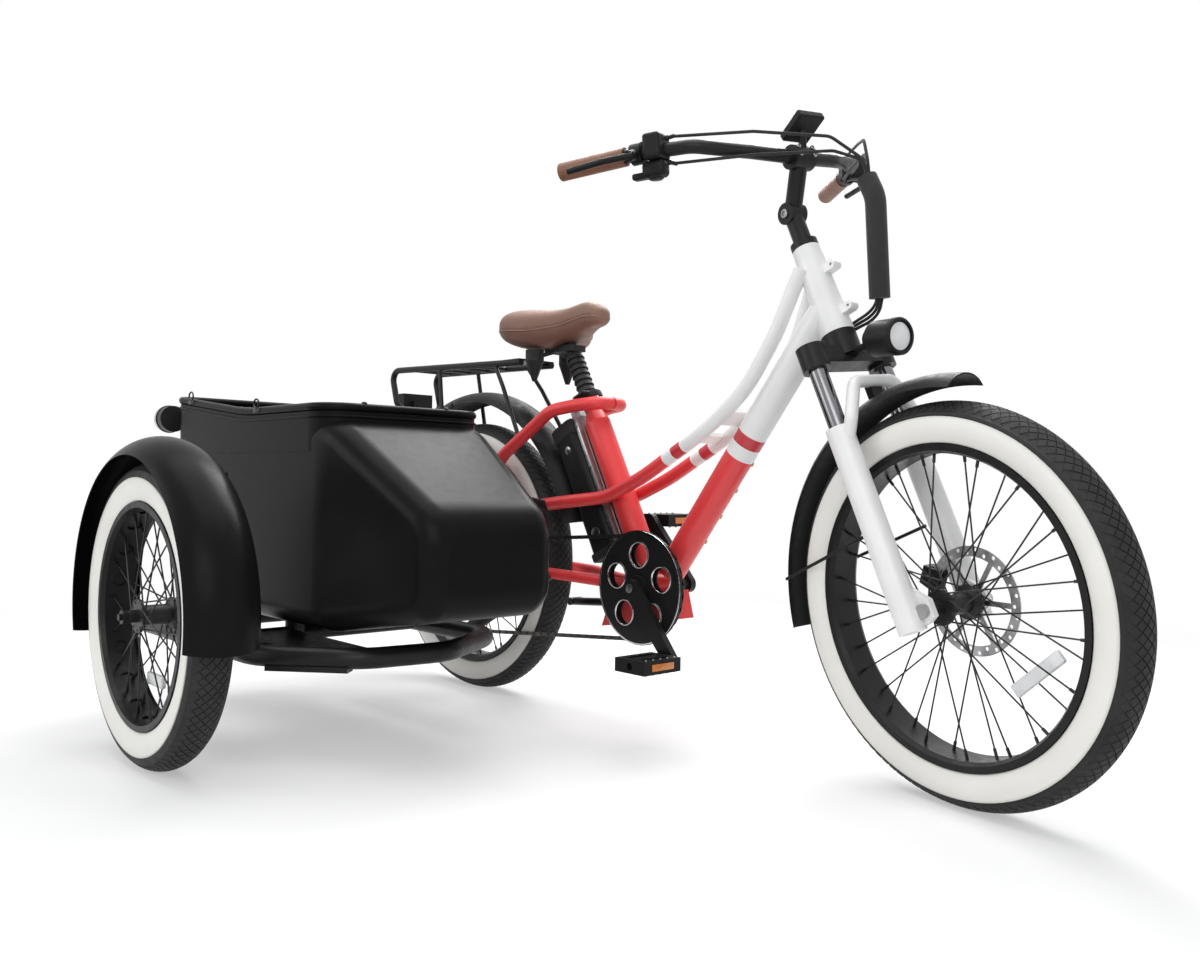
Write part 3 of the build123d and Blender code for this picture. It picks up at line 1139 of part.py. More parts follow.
whole = Compound(solids_of(*nodes.values())).bounding_box()
origin = Vector((whole.min.X + whole.max.X) / 2, (whole.min.Y + whole.max.Y) / 2, whole.min.Z)
for name, shape in nodes.items():
    placed = [solid.moved(Pos(*(origin * -1))) for solid in solids_of(shape)]
    export_step(placed[0] if len(placed) == 1 else Compound(placed), "parts/" + name + ".step")
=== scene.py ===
import bpy
import bmesh
import json
import math
from mathutils import Matrix, Vector


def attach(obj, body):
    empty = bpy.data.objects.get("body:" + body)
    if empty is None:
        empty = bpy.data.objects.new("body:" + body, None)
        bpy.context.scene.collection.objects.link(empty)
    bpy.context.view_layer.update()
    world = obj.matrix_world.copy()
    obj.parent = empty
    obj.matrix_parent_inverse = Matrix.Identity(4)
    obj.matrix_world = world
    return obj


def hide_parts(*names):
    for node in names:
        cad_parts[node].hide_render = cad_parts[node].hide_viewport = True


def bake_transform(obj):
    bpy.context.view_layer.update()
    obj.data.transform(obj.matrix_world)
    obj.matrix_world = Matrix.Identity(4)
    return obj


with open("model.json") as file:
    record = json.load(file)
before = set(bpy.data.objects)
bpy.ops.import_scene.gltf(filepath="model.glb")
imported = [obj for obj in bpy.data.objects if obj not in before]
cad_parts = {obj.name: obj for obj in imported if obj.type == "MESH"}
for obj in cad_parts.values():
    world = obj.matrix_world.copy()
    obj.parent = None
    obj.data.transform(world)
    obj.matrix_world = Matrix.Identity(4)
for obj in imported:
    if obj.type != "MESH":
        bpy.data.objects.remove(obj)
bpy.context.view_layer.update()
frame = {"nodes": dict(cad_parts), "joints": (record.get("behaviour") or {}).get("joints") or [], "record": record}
nodes = frame["nodes"]
joints = {j["name"]: j for j in frame["joints"]}
slots = {row["node"]: row["material_slot"] for row in frame["record"]["subparts"]}

# Places: x forward from the rear axle, y to the rider's left, z up from the road, in millimetres.
MM = 0.001
TAU = 2 * math.pi
UP = Vector((0, 0, 1))
AHEAD = Vector((1, 0, 0))
LEFT = Vector((0, 1, 0))
BOTH = (-1, 1)
TYRE_R = 326
HEAD_LOW = 509
CRANK = (622, 300)
PARKED_STEER = math.radians(-12.65)
NEARLY_PARALLEL = 0.1
BASE = Vector(joints["rear_wheel_spin"]["pos_m"]) - Vector((0, 0, TYRE_R * MM))
STEER_POS = Vector(joints["steering"]["pos_m"])
STEER_AXIS = Vector(joints["steering"]["axis"]).normalized()
HEAD_FORWARD = LEFT.cross(STEER_AXIS)
about_head = Matrix.Rotation(PARKED_STEER, 4, STEER_AXIS)
PARK = Matrix.Translation(STEER_POS) @ about_head @ Matrix.Translation(-STEER_POS)


def at(x, y, z):
    """A place on the bicycle."""
    return BASE + Vector((x, y, z)) * MM


def in_plane(place, y=0):
    """A place given by its x and z, on an upright plane."""
    x, z = place
    return at(x, y, z)


def straight(f, y, s):
    """A place on the steering, before PARK turns it to where the bars are parked."""
    return STEER_POS + (HEAD_FORWARD * f + LEFT * y + STEER_AXIS * s) * MM


def pointing(place, way, side=LEFT):
    """A local frame in millimetres at a place, its z along way and its y near side."""
    way = Vector(way).normalized()
    across = Vector(side).cross(way)
    if across.length < NEARLY_PARALLEL:
        across = AHEAD.cross(way)
    across.normalize()
    turn = Matrix((across, way.cross(across), way)).transposed().to_4x4()
    return Matrix.Translation(place) @ turn @ Matrix.Scale(MM, 4)


def linked(name, data):
    """A new object in the scene."""
    obj = bpy.data.objects.new(name, data)
    bpy.context.scene.collection.objects.link(obj)
    return obj


def dress(obj, material):
    obj.data.materials.clear()
    obj.data.materials.append(material)


# Materials, from nodes.
NOISE_LOW, NOISE_HIGH = 0.3, 0.7
COAT_ROUGH = 0.12
MOTTLE_SCALE = 14
MOTTLE_DETAIL = 4
GLOSS_FINER = 5
GRAIN_STRENGTH = 0.25
WEAVE_COARSER = 6
WEAVE_WOBBLE = 0.6
BRUSH_STRETCH = (1.0, 1.0, 14.0)
BRUSH_COARSER = 4
BRUSH_DETAIL = 2


def new_material(name):
    m = bpy.data.materials.new(name)
    m.use_nodes = True
    tree = m.node_tree
    tree.nodes.clear()
    out = tree.nodes.new("ShaderNodeOutputMaterial")
    shader = tree.nodes.new("ShaderNodeBsdfPrincipled")
    tree.links.new(shader.outputs[0], out.inputs[0])
    return m, tree, shader


def node(tree, kind, inputs=(), **values):
    n = tree.nodes.new("ShaderNode" + kind)
    for key, value in values.items():
        setattr(n, key, value)
    for key, value in dict(inputs).items():
        if isinstance(value, bpy.types.NodeSocket):
            tree.links.new(value, n.inputs[key])
        else:
            n.inputs[key].default_value = value
    return n


def maths(tree, operation, a, b=0.0):
    return node(tree, "Math", {0: a, 1: b}, operation=operation).outputs[0]


def vectors(tree, operation, a, b=(0, 0, 0)):
    """The two outputs of a vector sum: Vector and Value."""
    return node(tree, "VectorMath", {0: a, 1: tuple(b)}, operation=operation).outputs


def noise(tree, coords, scale, detail=3.0):
    return node(tree, "TexNoise", {"Vector": coords, "Scale": scale, "Detail": detail}).outputs[0]


def cells(tree, coords, scale):
    return node(tree, "TexVoronoi", {"Vector": coords, "Scale": scale}).outputs["Distance"]


def weave(tree, coords, scale):
    """Threads that run three ways, so that two sets cross on any face."""
    found = None
    for way in ("X", "Y", "Z"):
        inputs = {"Vector": coords, "Scale": scale / WEAVE_COARSER, "Distortion": WEAVE_WOBBLE}
        wave = node(tree, "TexWave", inputs, bands_direction=way).outputs[1]
        found = wave if found is None else maths(tree, "MAXIMUM", found, wave)
    return found


def brushed(tree, coords, scale):
    """Fine scratches that run across the z direction."""
    stretched = node(tree, "Mapping", {"Vector": coords, "Scale": BRUSH_STRETCH}).outputs[0]
    return noise(tree, stretched, scale / BRUSH_COARSER, BRUSH_DETAIL)


def ramp(tree, fac, stops, steps=False):
    r = node(tree, "ValToRGB", {"Fac": fac})
    r.color_ramp.interpolation = "CONSTANT" if steps else "LINEAR"
    spots = r.color_ramp.elements
    while len(spots) < len(stops):
        spots.new(1.0)
    for spot, (place, colour) in zip(spots, stops):
        spot.position = place
        spot.color = (*colour, 1)
    return r.outputs[0]


def multiply(tree, a, b):
    m = node(tree, "Mix", data_type="RGBA", blend_type="MULTIPLY")
    m.inputs[0].default_value = 1.0
    tree.links.new(a, m.inputs[6])
    tree.links.new(b, m.inputs[7])
    return m.outputs[2]


def span(tree, value, low, high, to_low, to_high):
    inputs = {"Value": value, "From Min": low, "From Max": high, "To Min": to_low, "To Max": to_high}
    return node(tree, "MapRange", inputs).outputs[0]


def bump(tree, shader, heights):
    """Relief from rows of height, strength and depth in millimetres."""
    last = None
    for height, strength, depth in heights:
        b = node(tree, "Bump", {"Height": height, "Strength": strength, "Distance": depth * MM})
        if last:
            tree.links.new(last.outputs[0], b.inputs["Normal"])
        last = b
    tree.links.new(last.outputs[0], shader.inputs["Normal"])


def surface(name, colour, rough, metal=0.0, coat=0.0, specular=0.5, mottle=0.12, grain=900,
            grain_depth=0.06, rough_spread=0.08, sheen=0.0, paint=None, texture=noise):
    """A painted, moulded, woven or metal face: soft uneven tone, uneven gloss and a fine surface grain."""
    m, t, shader = new_material(name)
    coords = node(t, "TexCoord").outputs["Object"]
    broad = noise(t, coords, MOTTLE_SCALE, MOTTLE_DETAIL)
    if paint:
        shade = ramp(t, broad, ((NOISE_LOW, (1 - mottle,) * 3), (NOISE_HIGH, (1.0,) * 3)))
        tone = multiply(t, paint(t, coords), shade)
    else:
        low = tuple(c * (1 - mottle) for c in colour)
        high = tuple(min(1.0, c * (1 + mottle)) for c in colour)
        tone = ramp(t, broad, ((NOISE_LOW, low), (NOISE_HIGH, high)))
    t.links.new(tone, shader.inputs["Base Color"])
    uneven = noise(t, coords, MOTTLE_SCALE * GLOSS_FINER)
    gloss = span(t, uneven, NOISE_LOW, NOISE_HIGH, rough - rough_spread, rough + rough_spread)
    t.links.new(gloss, shader.inputs["Roughness"])
    shader.inputs["Metallic"].default_value = metal
    shader.inputs["Specular IOR Level"].default_value = specular
    shader.inputs["Coat Weight"].default_value = coat
    shader.inputs["Coat Roughness"].default_value = COAT_ROUGH
    shader.inputs["Sheen Weight"].default_value = sheen
    bump(t, shader, [(texture(t, coords, grain), GRAIN_STRENGTH, grain_depth)])
    return m


def bands(start, way, stops):
    """Paint that changes colour in rings along a line."""
    def paint(t, coords):
        shifted = vectors(t, "SUBTRACT", coords, start)["Vector"]
        along = vectors(t, "DOT_PRODUCT", shifted, way)["Value"]
        return ramp(t, along, stops, steps=True)
    return paint


def from_axle(t, coords, centre, axis):
    """Distance from a wheel's axle line, in metres."""
    shifted = vectors(t, "SUBTRACT", coords, centre)["Vector"]
    crossed = vectors(t, "CROSS_PRODUCT", shifted, axis)["Vector"]
    return vectors(t, "LENGTH", crossed)["Value"]


# Colours, and the painted rings of the down tube and the twin tubes.
WHITE = (0.76, 0.76, 0.75)
RED = (0.70, 0.042, 0.046)
BAND_RED = (0.50, 0.026, 0.038)
BLACK = (0.010, 0.010, 0.0105)
SOOT = (0.014, 0.014, 0.0145)
DOWN_LOW = (650, 330)
DOWN_TOP = (1022.8, 829.9)
DOWN_BANDS = (827, 842, 857)
TWIN_FROM = (500, 400)
TWIN_LEAN = 0.58
TWIN_BANDS = ((675, 556), (697, 570), (719, 584))
down_low = in_plane(DOWN_LOW)
down_top = in_plane(DOWN_TOP)
down_way = (down_top - down_low).normalized()


def down_place(x):
    """How far up the down tube a point of it lies, in metres."""
    return (x - DOWN_LOW[0]) / (DOWN_TOP[0] - DOWN_LOW[0]) * (down_top - down_low).length


def twin_place(x, z):
    """The same for the twin tubes, by the measure that their paint goes by."""
    return (x - TWIN_FROM[0] + (z - TWIN_FROM[1]) * TWIN_LEAN) * MM


def ringed(places):
    return ((0.0, RED), (places[0], WHITE), (places[1], BAND_RED), (places[2], WHITE))


down_rings = ringed([down_place(x) for x in DOWN_BANDS])
twin_rings = ringed([twin_place(*spot) for spot in TWIN_BANDS])
down_paint = bands(down_low, down_way, down_rings)
twin_paint = bands(in_plane(TWIN_FROM), (1, 0, TWIN_LEAN), twin_rings)

white_paint = dict(colour=WHITE, rough=0.40, coat=0.15, mottle=0.03)
lens_grain = dict(grain=380, grain_depth=0.6, texture=cells)
materials = {
    "tyre": surface("tyre_rubber", (0.016, 0.016, 0.0165), 0.62, specular=0.3, mottle=0.3, grain=700,
                    grain_depth=0.2),
    "rim": surface("black_rim", BLACK, 0.36, specular=0.2),
    "hub": surface("black_hub", (0.012, 0.012, 0.0125), 0.38, specular=0.35),
    "steel": surface("bare_steel", (0.46, 0.46, 0.47), 0.36, metal=1.0, mottle=0.2, texture=brushed),
    "frame_white": surface("white_paint", **white_paint),
    "frame_red": surface("red_paint", RED, 0.46, coat=0.1, specular=0.4, mottle=0.06),
    "bare_alloy": surface("satin_alloy", (0.42, 0.42, 0.43), 0.42, metal=1.0, texture=brushed),
    "black_plastic": surface("black_moulding", BLACK, 0.46, specular=0.15, grain=650, grain_depth=0.12),
    "black_rubber": surface("black_rubber", SOOT, 0.6, specular=0.3, grain=800),
    "black_fabric": surface("black_knit", (0.030, 0.029, 0.030), 0.85, specular=0.2, sheen=0.15, grain=1600,
                            grain_depth=0.3, texture=weave),
    "brown_hide": surface("brown_hide", (0.194, 0.105, 0.076), 0.52, specular=0.4, mottle=0.14, grain=620,
                          grain_depth=0.4, texture=cells),
    "black_metal": surface("black_enamel", BLACK, 0.36, specular=0.2),
    "chrome": surface("dark_bright_tube", (0.20, 0.20, 0.21), 0.16, metal=1.0, mottle=0.05,
                      rough_spread=0.04),
    "tub_black": surface("tub_enamel", (0.006, 0.006, 0.0062), 0.32, specular=0.06, mottle=0.1,
                         rough_spread=0.03),
    "seat_cloth": surface("seat_cloth", (0.030, 0.030, 0.032), 0.85, specular=0.2, sheen=0.3, grain=1500,
                          grain_depth=0.4, texture=weave),
    "lamp_red": surface("lamp_case", SOOT, 0.4, specular=0.3),
}
down_material = surface("down_tube_paint", paint=down_paint, **white_paint)
twin_material = surface("twin_tube_paint", paint=twin_paint, **white_paint)
bright_metal = surface("bright_trim", (0.66, 0.66, 0.68), 0.2, metal=1.0, mottle=0.08, rough_spread=0.05)
bolt_metal = surface("bolt_steel", (0.30, 0.30, 0.31), 0.34, metal=1.0, mottle=0.15)
amber = surface("amber_lens", (0.55, 0.17, 0.02), 0.25, coat=0.4, **lens_grain)
red_lens = surface("red_lens", (0.36, 0.01, 0.012), 0.2, coat=0.5, **lens_grain)
clear_lens = surface("clear_lens", (0.72, 0.73, 0.74), 0.18, coat=0.5, grain=420, grain_depth=0.8,
                     texture=cells)
dark_glass = surface("screen_glass", (0.010, 0.011, 0.013), 0.12, coat=0.6, mottle=0.1)
thread = surface("stitch_thread", (0.10, 0.052, 0.034), 0.8, grain=2200, grain_depth=0.2)
grip_hide = surface("grip_hide", (0.185, 0.083, 0.048), 0.5, specular=0.4, grain=700, grain_depth=0.4,
                    texture=cells)
chain_steel = surface("dark_chain", (0.075, 0.072, 0.068), 0.42, metal=1.0, mottle=0.3)
brass = surface("brass_boss", (0.42, 0.27, 0.12), 0.38, metal=1.0, mottle=0.15)

# Mesh forms, in the millimetres of a local frame. Edges sharper than a piece's angle here stay sharp.
SHARP_ANGLE = 40
SKIN_ANGLE = 60
CLOTH_ANGLE = 180
SOFT_EDGE = 3


class Shape:
    """Vertices and faces gathered from several simple forms."""

    def __init__(self):
        self.verts = []
        self.faces = []

    def add(self, place, verts, faces):
        base = len(self.verts)
        self.verts += [place @ Vector(v) for v in verts]
        self.faces += [tuple(base + i for i in face) for face in faces]

    def rings(self, place, rows, wrap=False, caps=False, around=True):
        """Joins rows of equally many points into a skin."""
        size = len(rows[0])
        verts = [point for row in rows for point in row]
        faces = []
        for k in range(len(rows) if wrap else len(rows) - 1):
            a = k * size
            b = (k + 1) % len(rows) * size
            for i in range(size if around else size - 1):
                j = (i + 1) % size
                faces.append((a + i, a + j, b + j, b + i))
        if caps:
            faces.append(tuple(range(size - 1, -1, -1)))
            faces.append(tuple(range((len(rows) - 1) * size, len(rows) * size)))
        self.add(place, verts, faces)

    def turned(self, place, profile, steps, closed=False):
        """Turns a profile of (radius, height) round the local z."""
        rows = []
        for k in range(steps):
            c = math.cos(TAU * k / steps)
            s = math.sin(TAU * k / steps)
            rows.append([(r * c, r * s, z) for r, z in profile])
        self.rings(place, rows, wrap=True, around=closed)

    def tube(self, points, radius, sides, wrap=False):
        """A round tube along points given in metres."""
        points = [Vector(p) for p in points]
        rows = []
        side = None
        count = len(points)
        for k, point in enumerate(points):
            before = points[k - 1] if k or wrap else point
            after = points[(k + 1) % count] if k + 1 < count or wrap else point
            way = (after - before).normalized()
            side = way.orthogonal() if side is None else side - way * side.dot(way)
            side = side.normalized()
            other = way.cross(side)
            ring = []
            for i in range(sides):
                a = TAU * i / sides
                ring.append(point + (side * math.cos(a) + other * math.sin(a)) * radius * MM)
            rows.append(ring)
        self.rings(Matrix.Identity(4), rows, wrap=wrap, caps=not wrap)

    def block(self, place, size, bevel, segments=2):
        """A box with rounded edges."""
        bm = bmesh.new()
        bmesh.ops.create_cube(bm, size=1.0)
        bmesh.ops.scale(bm, vec=size, verts=bm.verts)
        bmesh.ops.bevel(bm, geom=bm.edges, offset=bevel, segments=segments, affect="EDGES", profile=0.5)
        bm.verts.index_update()
        self.add(place, [v.co.copy() for v in bm.verts], [[v.index for v in f.verts] for f in bm.faces])
        bm.free()

    def made(self, name, material, body, slot, angle=SHARP_ANGLE):
        """The finished piece, which rides on a body unless body is None."""
        mesh = bpy.data.meshes.new(name)
        mesh.from_pydata(self.verts, [], self.faces)
        bm = bmesh.new()
        bm.from_mesh(mesh)
        bmesh.ops.recalc_face_normals(bm, faces=bm.faces)
        bm.to_mesh(mesh)
        bm.free()
        obj = linked(name, mesh)
        mesh.shade_smooth()
        mesh.set_sharp_from_angle(angle=math.radians(angle))
        dress(obj, material)
        if body:
            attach(obj, body)
        return obj


def arc(start, middle, end, count):
    """Points along the circle through three points of a plane."""
    (ax, ay), (bx, by), (cx, cy) = start, middle, end
    d = 2 * (ax * (by - cy) + bx * (cy - ay) + cx * (ay - by))
    a = ax * ax + ay * ay
    b = bx * bx + by * by
    c = cx * cx + cy * cy
    ux = (a * (by - cy) + b * (cy - ay) + c * (ay - by)) / d
    uy = (a * (cx - bx) + b * (ax - cx) + c * (bx - ax)) / d
    radius = math.hypot(ax - ux, ay - uy)
    turns = [math.atan2(y - uy, x - ux) for x, y in (start, middle, end)]
    sweep = (turns[2] - turns[0]) % TAU
    if (turns[1] - turns[0]) % TAU > sweep:
        sweep -= TAU
    points = []
    for k in range(count + 1):
        turn = turns[0] + sweep * k / count
        points.append((ux + radius * math.cos(turn), uy + radius * math.sin(turn)))
    return points


BOLT = ((0.0, 0.45), (0.55, 0.45), (0.55, 1.0), (0.85, 1.0), (1.0, 0.8), (1.0, 0.0))
BOLT_STEPS = 18


def bolts(name, body, slot, rows, material=bolt_metal):
    """Socket-head bolts: rows of place, direction, radius and height."""
    heads = Shape()
    for place, way, radius, tall in rows:
        heads.turned(pointing(place, way), [(r * radius, h * tall) for r, h in BOLT], BOLT_STEPS)
    heads.made(name, material, body, slot)


# Wheels: tyres with a raised diamond tread and ribbed white walls.
big_wheel = dict(tyre_r=TYRE_R, tyre_half=39, drop=17, half=34, white_out=303, rim_r=260, rim_half=33)
small_wheel = dict(tyre_r=268, tyre_half=38, drop=16, half=33, white_out=240, rim_r=198, rim_half=33)
WHEELS = {"front": big_wheel, "rear": big_wheel, "sidecar": small_wheel}
RIM_FLANGE = 3.5
RIM_BED = 9
FIT = 0.3
WALL_INSET = 1.7
SIDE_STEPS = 22
TYRE_STEPS = 168
TYRE_ANGLE = 35
TREAD_LINES = range(32, -33, -2)
TREAD_EDGE = 1
GROOVE = 1.8
BLOCK_PITCH = 18
BLOCK_ROWS = (-24, -16, -8, 0, 8, 16, 24)
BLOCK_LONG = 8.0
BLOCK_WIDE = 7.1
BLOCK_ROOT = 0.6
BLOCK_TOP = 0.93
BLOCK_CORNERS = ((BLOCK_LONG, 0), (0, BLOCK_WIDE), (-BLOCK_LONG, 0), (0, -BLOCK_WIDE))
BLOCK_FACES = ((4, 5, 6, 7), (0, 1, 5, 4), (1, 2, 6, 5), (2, 3, 7, 6), (3, 0, 4, 7))


def tyre(name, w):
    spin = joints[name + "_wheel_spin"]
    place = pointing(Vector(spin["pos_m"]), spin["axis"], UP)
    bead = w["rim_half"] - RIM_FLANGE - FIT
    bed = w["rim_r"] - RIM_BED + FIT
    shoulder = w["tyre_r"] - w["drop"]
    crown_r = (w["half"] ** 2 + w["drop"] ** 2) / (2 * w["drop"])

    def crown(y):
        return w["tyre_r"] - crown_r + math.sqrt(crown_r ** 2 - y * y)

    widest = ((w["rim_r"] + shoulder) / 2, w["tyre_half"])
    wall = [(bed, bead)]
    for r, y in arc((w["rim_r"], bead), widest, (shoulder, w["half"]), SIDE_STEPS):
        wall.append((r, y - WALL_INSET if r < w["white_out"] else y))
    tread = [(crown(y) - GROOVE, y) for y in TREAD_LINES if abs(y) < w["half"] - TREAD_EDGE]
    other = [(r, -y) for r, y in reversed(wall)]
    shape = Shape()
    shape.turned(place, wall + tread + other, TYRE_STEPS, closed=True)
    count = round(TAU * w["tyre_r"] / BLOCK_PITCH)
    for row, middle in enumerate(BLOCK_ROWS):
        for k in range(count):
            turn = TAU * (k + row % 2 / 2) / count
            verts = []
            for sink, grow in ((GROOVE + BLOCK_ROOT, 1.0), (0.0, BLOCK_TOP)):
                for along, over in BLOCK_CORNERS:
                    y = middle + over * grow
                    a = turn + along * grow / w["tyre_r"]
                    r = crown(y) - sink
                    verts.append((r * math.cos(a), r * math.sin(a), y))
            shape.add(place, verts, BLOCK_FACES)
    made = shape.made(name + "_tread_tyre", materials["tyre"], name + "_wheel", "tyre", TYRE_ANGLE)
    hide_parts(name + "_tyre")


WALL_TONES = ((0.0, (0.60, 0.59, 0.56)), (0.07, (0.80, 0.79, 0.755)), (0.9, (0.81, 0.80, 0.765)),
              (1.0, (0.62, 0.61, 0.58)))
WALL_SMUDGES = ((NOISE_LOW, (0.93, 0.925, 0.91)), (NOISE_HIGH, (1.0, 1.0, 1.0)))
WALL_RIBBED = ((0.0, (1, 1, 1)), (0.2, (0, 0, 0)), (0.8, (0, 0, 0)), (1.0, (1, 1, 1)))
WALL_ROUGH = (0.5, 0.66)
WALL_SPECULAR = 0.3
SMUDGE_SCALE = 9
SMUDGE_DETAIL = 5
WALL_GRAIN = 420
GRAIN_RELIEF = (0.2, 0.2)
RIB_PITCH = 6.2
RIB_RELIEF = (0.5, 0.4)


def white_wall(name, w):
    """White rubber, greyer at its two edges, with fine ribs near them."""
    spin = joints[name + "_wheel_spin"]
    m, t, shader = new_material(name + "_white_wall")
    coords = node(t, "TexCoord").outputs["Object"]
    away = from_axle(t, coords, spin["pos_m"], spin["axis"])
    share = span(t, away, w["rim_r"] * MM, w["white_out"] * MM, 0.0, 1.0)
    smudge = noise(t, coords, SMUDGE_SCALE, SMUDGE_DETAIL)
    clean = ramp(t, share, WALL_TONES)
    worn = ramp(t, smudge, WALL_SMUDGES)
    t.links.new(multiply(t, clean, worn), shader.inputs["Base Color"])
    t.links.new(span(t, smudge, NOISE_LOW, NOISE_HIGH, *WALL_ROUGH), shader.inputs["Roughness"])
    shader.inputs["Specular IOR Level"].default_value = WALL_SPECULAR
    ribs = maths(t, "SINE", maths(t, "MULTIPLY", away, TAU / (RIB_PITCH * MM)))
    edge_ribs = maths(t, "MULTIPLY", ribs, ramp(t, share, WALL_RIBBED))
    bump(t, shader, ((noise(t, coords, WALL_GRAIN), *GRAIN_RELIEF), (edge_ribs, *RIB_RELIEF)))
    return m


for name, obj in nodes.items():
    if slots[name] != "whitewall":
        dress(obj, materials[slots[name]])
for name, w in WHEELS.items():
    tyre(name, w)
    dress(nodes[name + "_whitewalls"], white_wall(name, w))
dress(nodes["down_tube"], down_material)
dress(nodes["twin_tubes"], twin_material)
dress(nodes["grips"], grip_hide)

# Chain of links round the ring, the cog and the two pulleys.
CHAIN_PITCH = 12.7
CHAIN_Y = -50
CHAIN_ANGLE = 30
RING_TEETH = 52
COG_TEETH = 18
PULLEY_R = 21
CURVE_STEPS = 40
PLATE_R = 4.1
PLATE_THICK = 1.2
PLATE_STEPS = 12
OUTER_PLATE = 2.9
INNER_PLATE = 1.6
PIN = ((0, -3.9), (1.9, -3.9), (1.9, 3.9), (0, 3.9))
PIN_STEPS = 10


def pitch_radius(teeth):
    return CHAIN_PITCH / 2 / math.sin(math.pi / teeth)


# The circles that the chain runs on: x, z, radius and the way round.
CIRCLES = ((*CRANK, pitch_radius(RING_TEETH), 1), (0, TYRE_R, pitch_radius(COG_TEETH), 1),
           (24, 236, PULLEY_R, -1), (54, 168, PULLEY_R, 1))


def chain_run():
    """The closed line of the chain: arcs on the circles, joined by straight stretches."""
    touch = []
    for k, (x0, z0, r0, s0) in enumerate(CIRCLES):
        x1, z1, r1, s1 = CIRCLES[(k + 1) % len(CIRCLES)]
        gap = math.hypot(x1 - x0, z1 - z0)
        turn = math.atan2(z1 - z0, x1 - x0) + math.asin((s0 * r0 - s1 * r1) / gap)
        right = (math.sin(turn), -math.cos(turn))
        touch.append(((x0 + s0 * r0 * right[0], z0 + s0 * r0 * right[1]),
                      (x1 + s1 * r1 * right[0], z1 + s1 * r1 * right[1])))
    points = []
    for k, (x0, z0, r0, s0) in enumerate(CIRCLES):
        reach = touch[k - 1][1]
        leave = touch[k][0]
        begin = math.atan2(reach[1] - z0, reach[0] - x0)
        end = math.atan2(leave[1] - z0, leave[0] - x0)
        sweep = (end - begin) * s0 % TAU * s0
        for i in range(CURVE_STEPS + 1):
            a = begin + sweep * i / CURVE_STEPS
            points.append((x0 + r0 * math.cos(a), z0 + r0 * math.sin(a)))
    return points


def evenly(points, step):
    """Points spaced evenly along a closed line, a whole even number of steps round it."""
    legs = [math.dist(p, points[(k + 1) % len(points)]) for k, p in enumerate(points)]
    count = 2 * round(sum(legs) / step / 2)
    step = sum(legs) / count
    spots = []
    k = 0
    gone = 0.0
    for i in range(count):
        while gone + legs[k] < i * step:
            gone += legs[k]
            k += 1
        share = (i * step - gone) / legs[k]
        a = points[k]
        b = points[(k + 1) % len(points)]
        spots.append((a[0] + (b[0] - a[0]) * share, a[1] + (b[1] - a[1]) * share))
    return spots


plate = []
for i in range(PLATE_STEPS):
    a = TAU * (i + 0.5) / PLATE_STEPS
    end = math.copysign(CHAIN_PITCH / 2, math.cos(a))
    plate.append((end + PLATE_R * math.cos(a), PLATE_R * math.sin(a)))
links = Shape()
pins = evenly(chain_run(), CHAIN_PITCH)
for k, (x, z) in enumerate(pins):
    x1, z1 = pins[(k + 1) % len(pins)]
    way = Vector((x1 - x, 0, z1 - z)).normalized()
    middle = at((x + x1) / 2, CHAIN_Y, (z + z1) / 2)
    turn = Matrix((way, LEFT, way.cross(LEFT))).transposed().to_4x4()
    place = Matrix.Translation(middle) @ turn @ Matrix.Scale(MM, 4)
    offset = OUTER_PLATE if k % 2 else INNER_PLATE
    for side in BOTH:
        rows = [[(u, side * offset + face * PLATE_THICK / 2, v) for u, v in plate] for face in BOTH]
        links.rings(place, rows, caps=True)
    links.turned(pointing(at(x, CHAIN_Y, z), LEFT), PIN, PIN_STEPS)
chain = links.made("chain_links", chain_steel, "frame", "steel", CHAIN_ANGLE)
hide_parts("chain")

# Crank set: bright rings on the guard plate, and the bolts of the cranks by radius and height.
GUARD_Y = -64.2
GUARD_HOLES = 5
HOLES_R = 66
HOLES_TURN = 18
HOLE_LIP = ((24.2, 0.0), (24.4, 1.2), (25.6, 1.7), (27.2, 1.2), (27.6, 0.0))
HOLE_STEPS = 40
GUARD_LIP = ((112, 0), (112.4, 1.4), (114.6, 1.4), (115, 0))
GUARD_STEPS = 96
CRANK_END = 89.2
CRANK_BOLT = (9, 3)
guard = Shape()
for k in range(GUARD_HOLES):
    a = math.radians(k * 360 / GUARD_HOLES + HOLES_TURN)
    spot = at(CRANK[0] + HOLES_R * math.cos(a), GUARD_Y, CRANK[1] + HOLES_R * math.sin(a))
    guard.turned(pointing(spot, -LEFT), HOLE_LIP, HOLE_STEPS)
guard.turned(pointing(in_plane(CRANK, GUARD_Y), -LEFT), GUARD_LIP, GUARD_STEPS)
guard.made("guard_plate_rings", bright_metal, "crank", "steel")
crank_rows = [(in_plane(CRANK, side * CRANK_END), side * LEFT, *CRANK_BOLT) for side in BOTH]
bolts("crank_bolts", "crank", "steel", crank_rows)

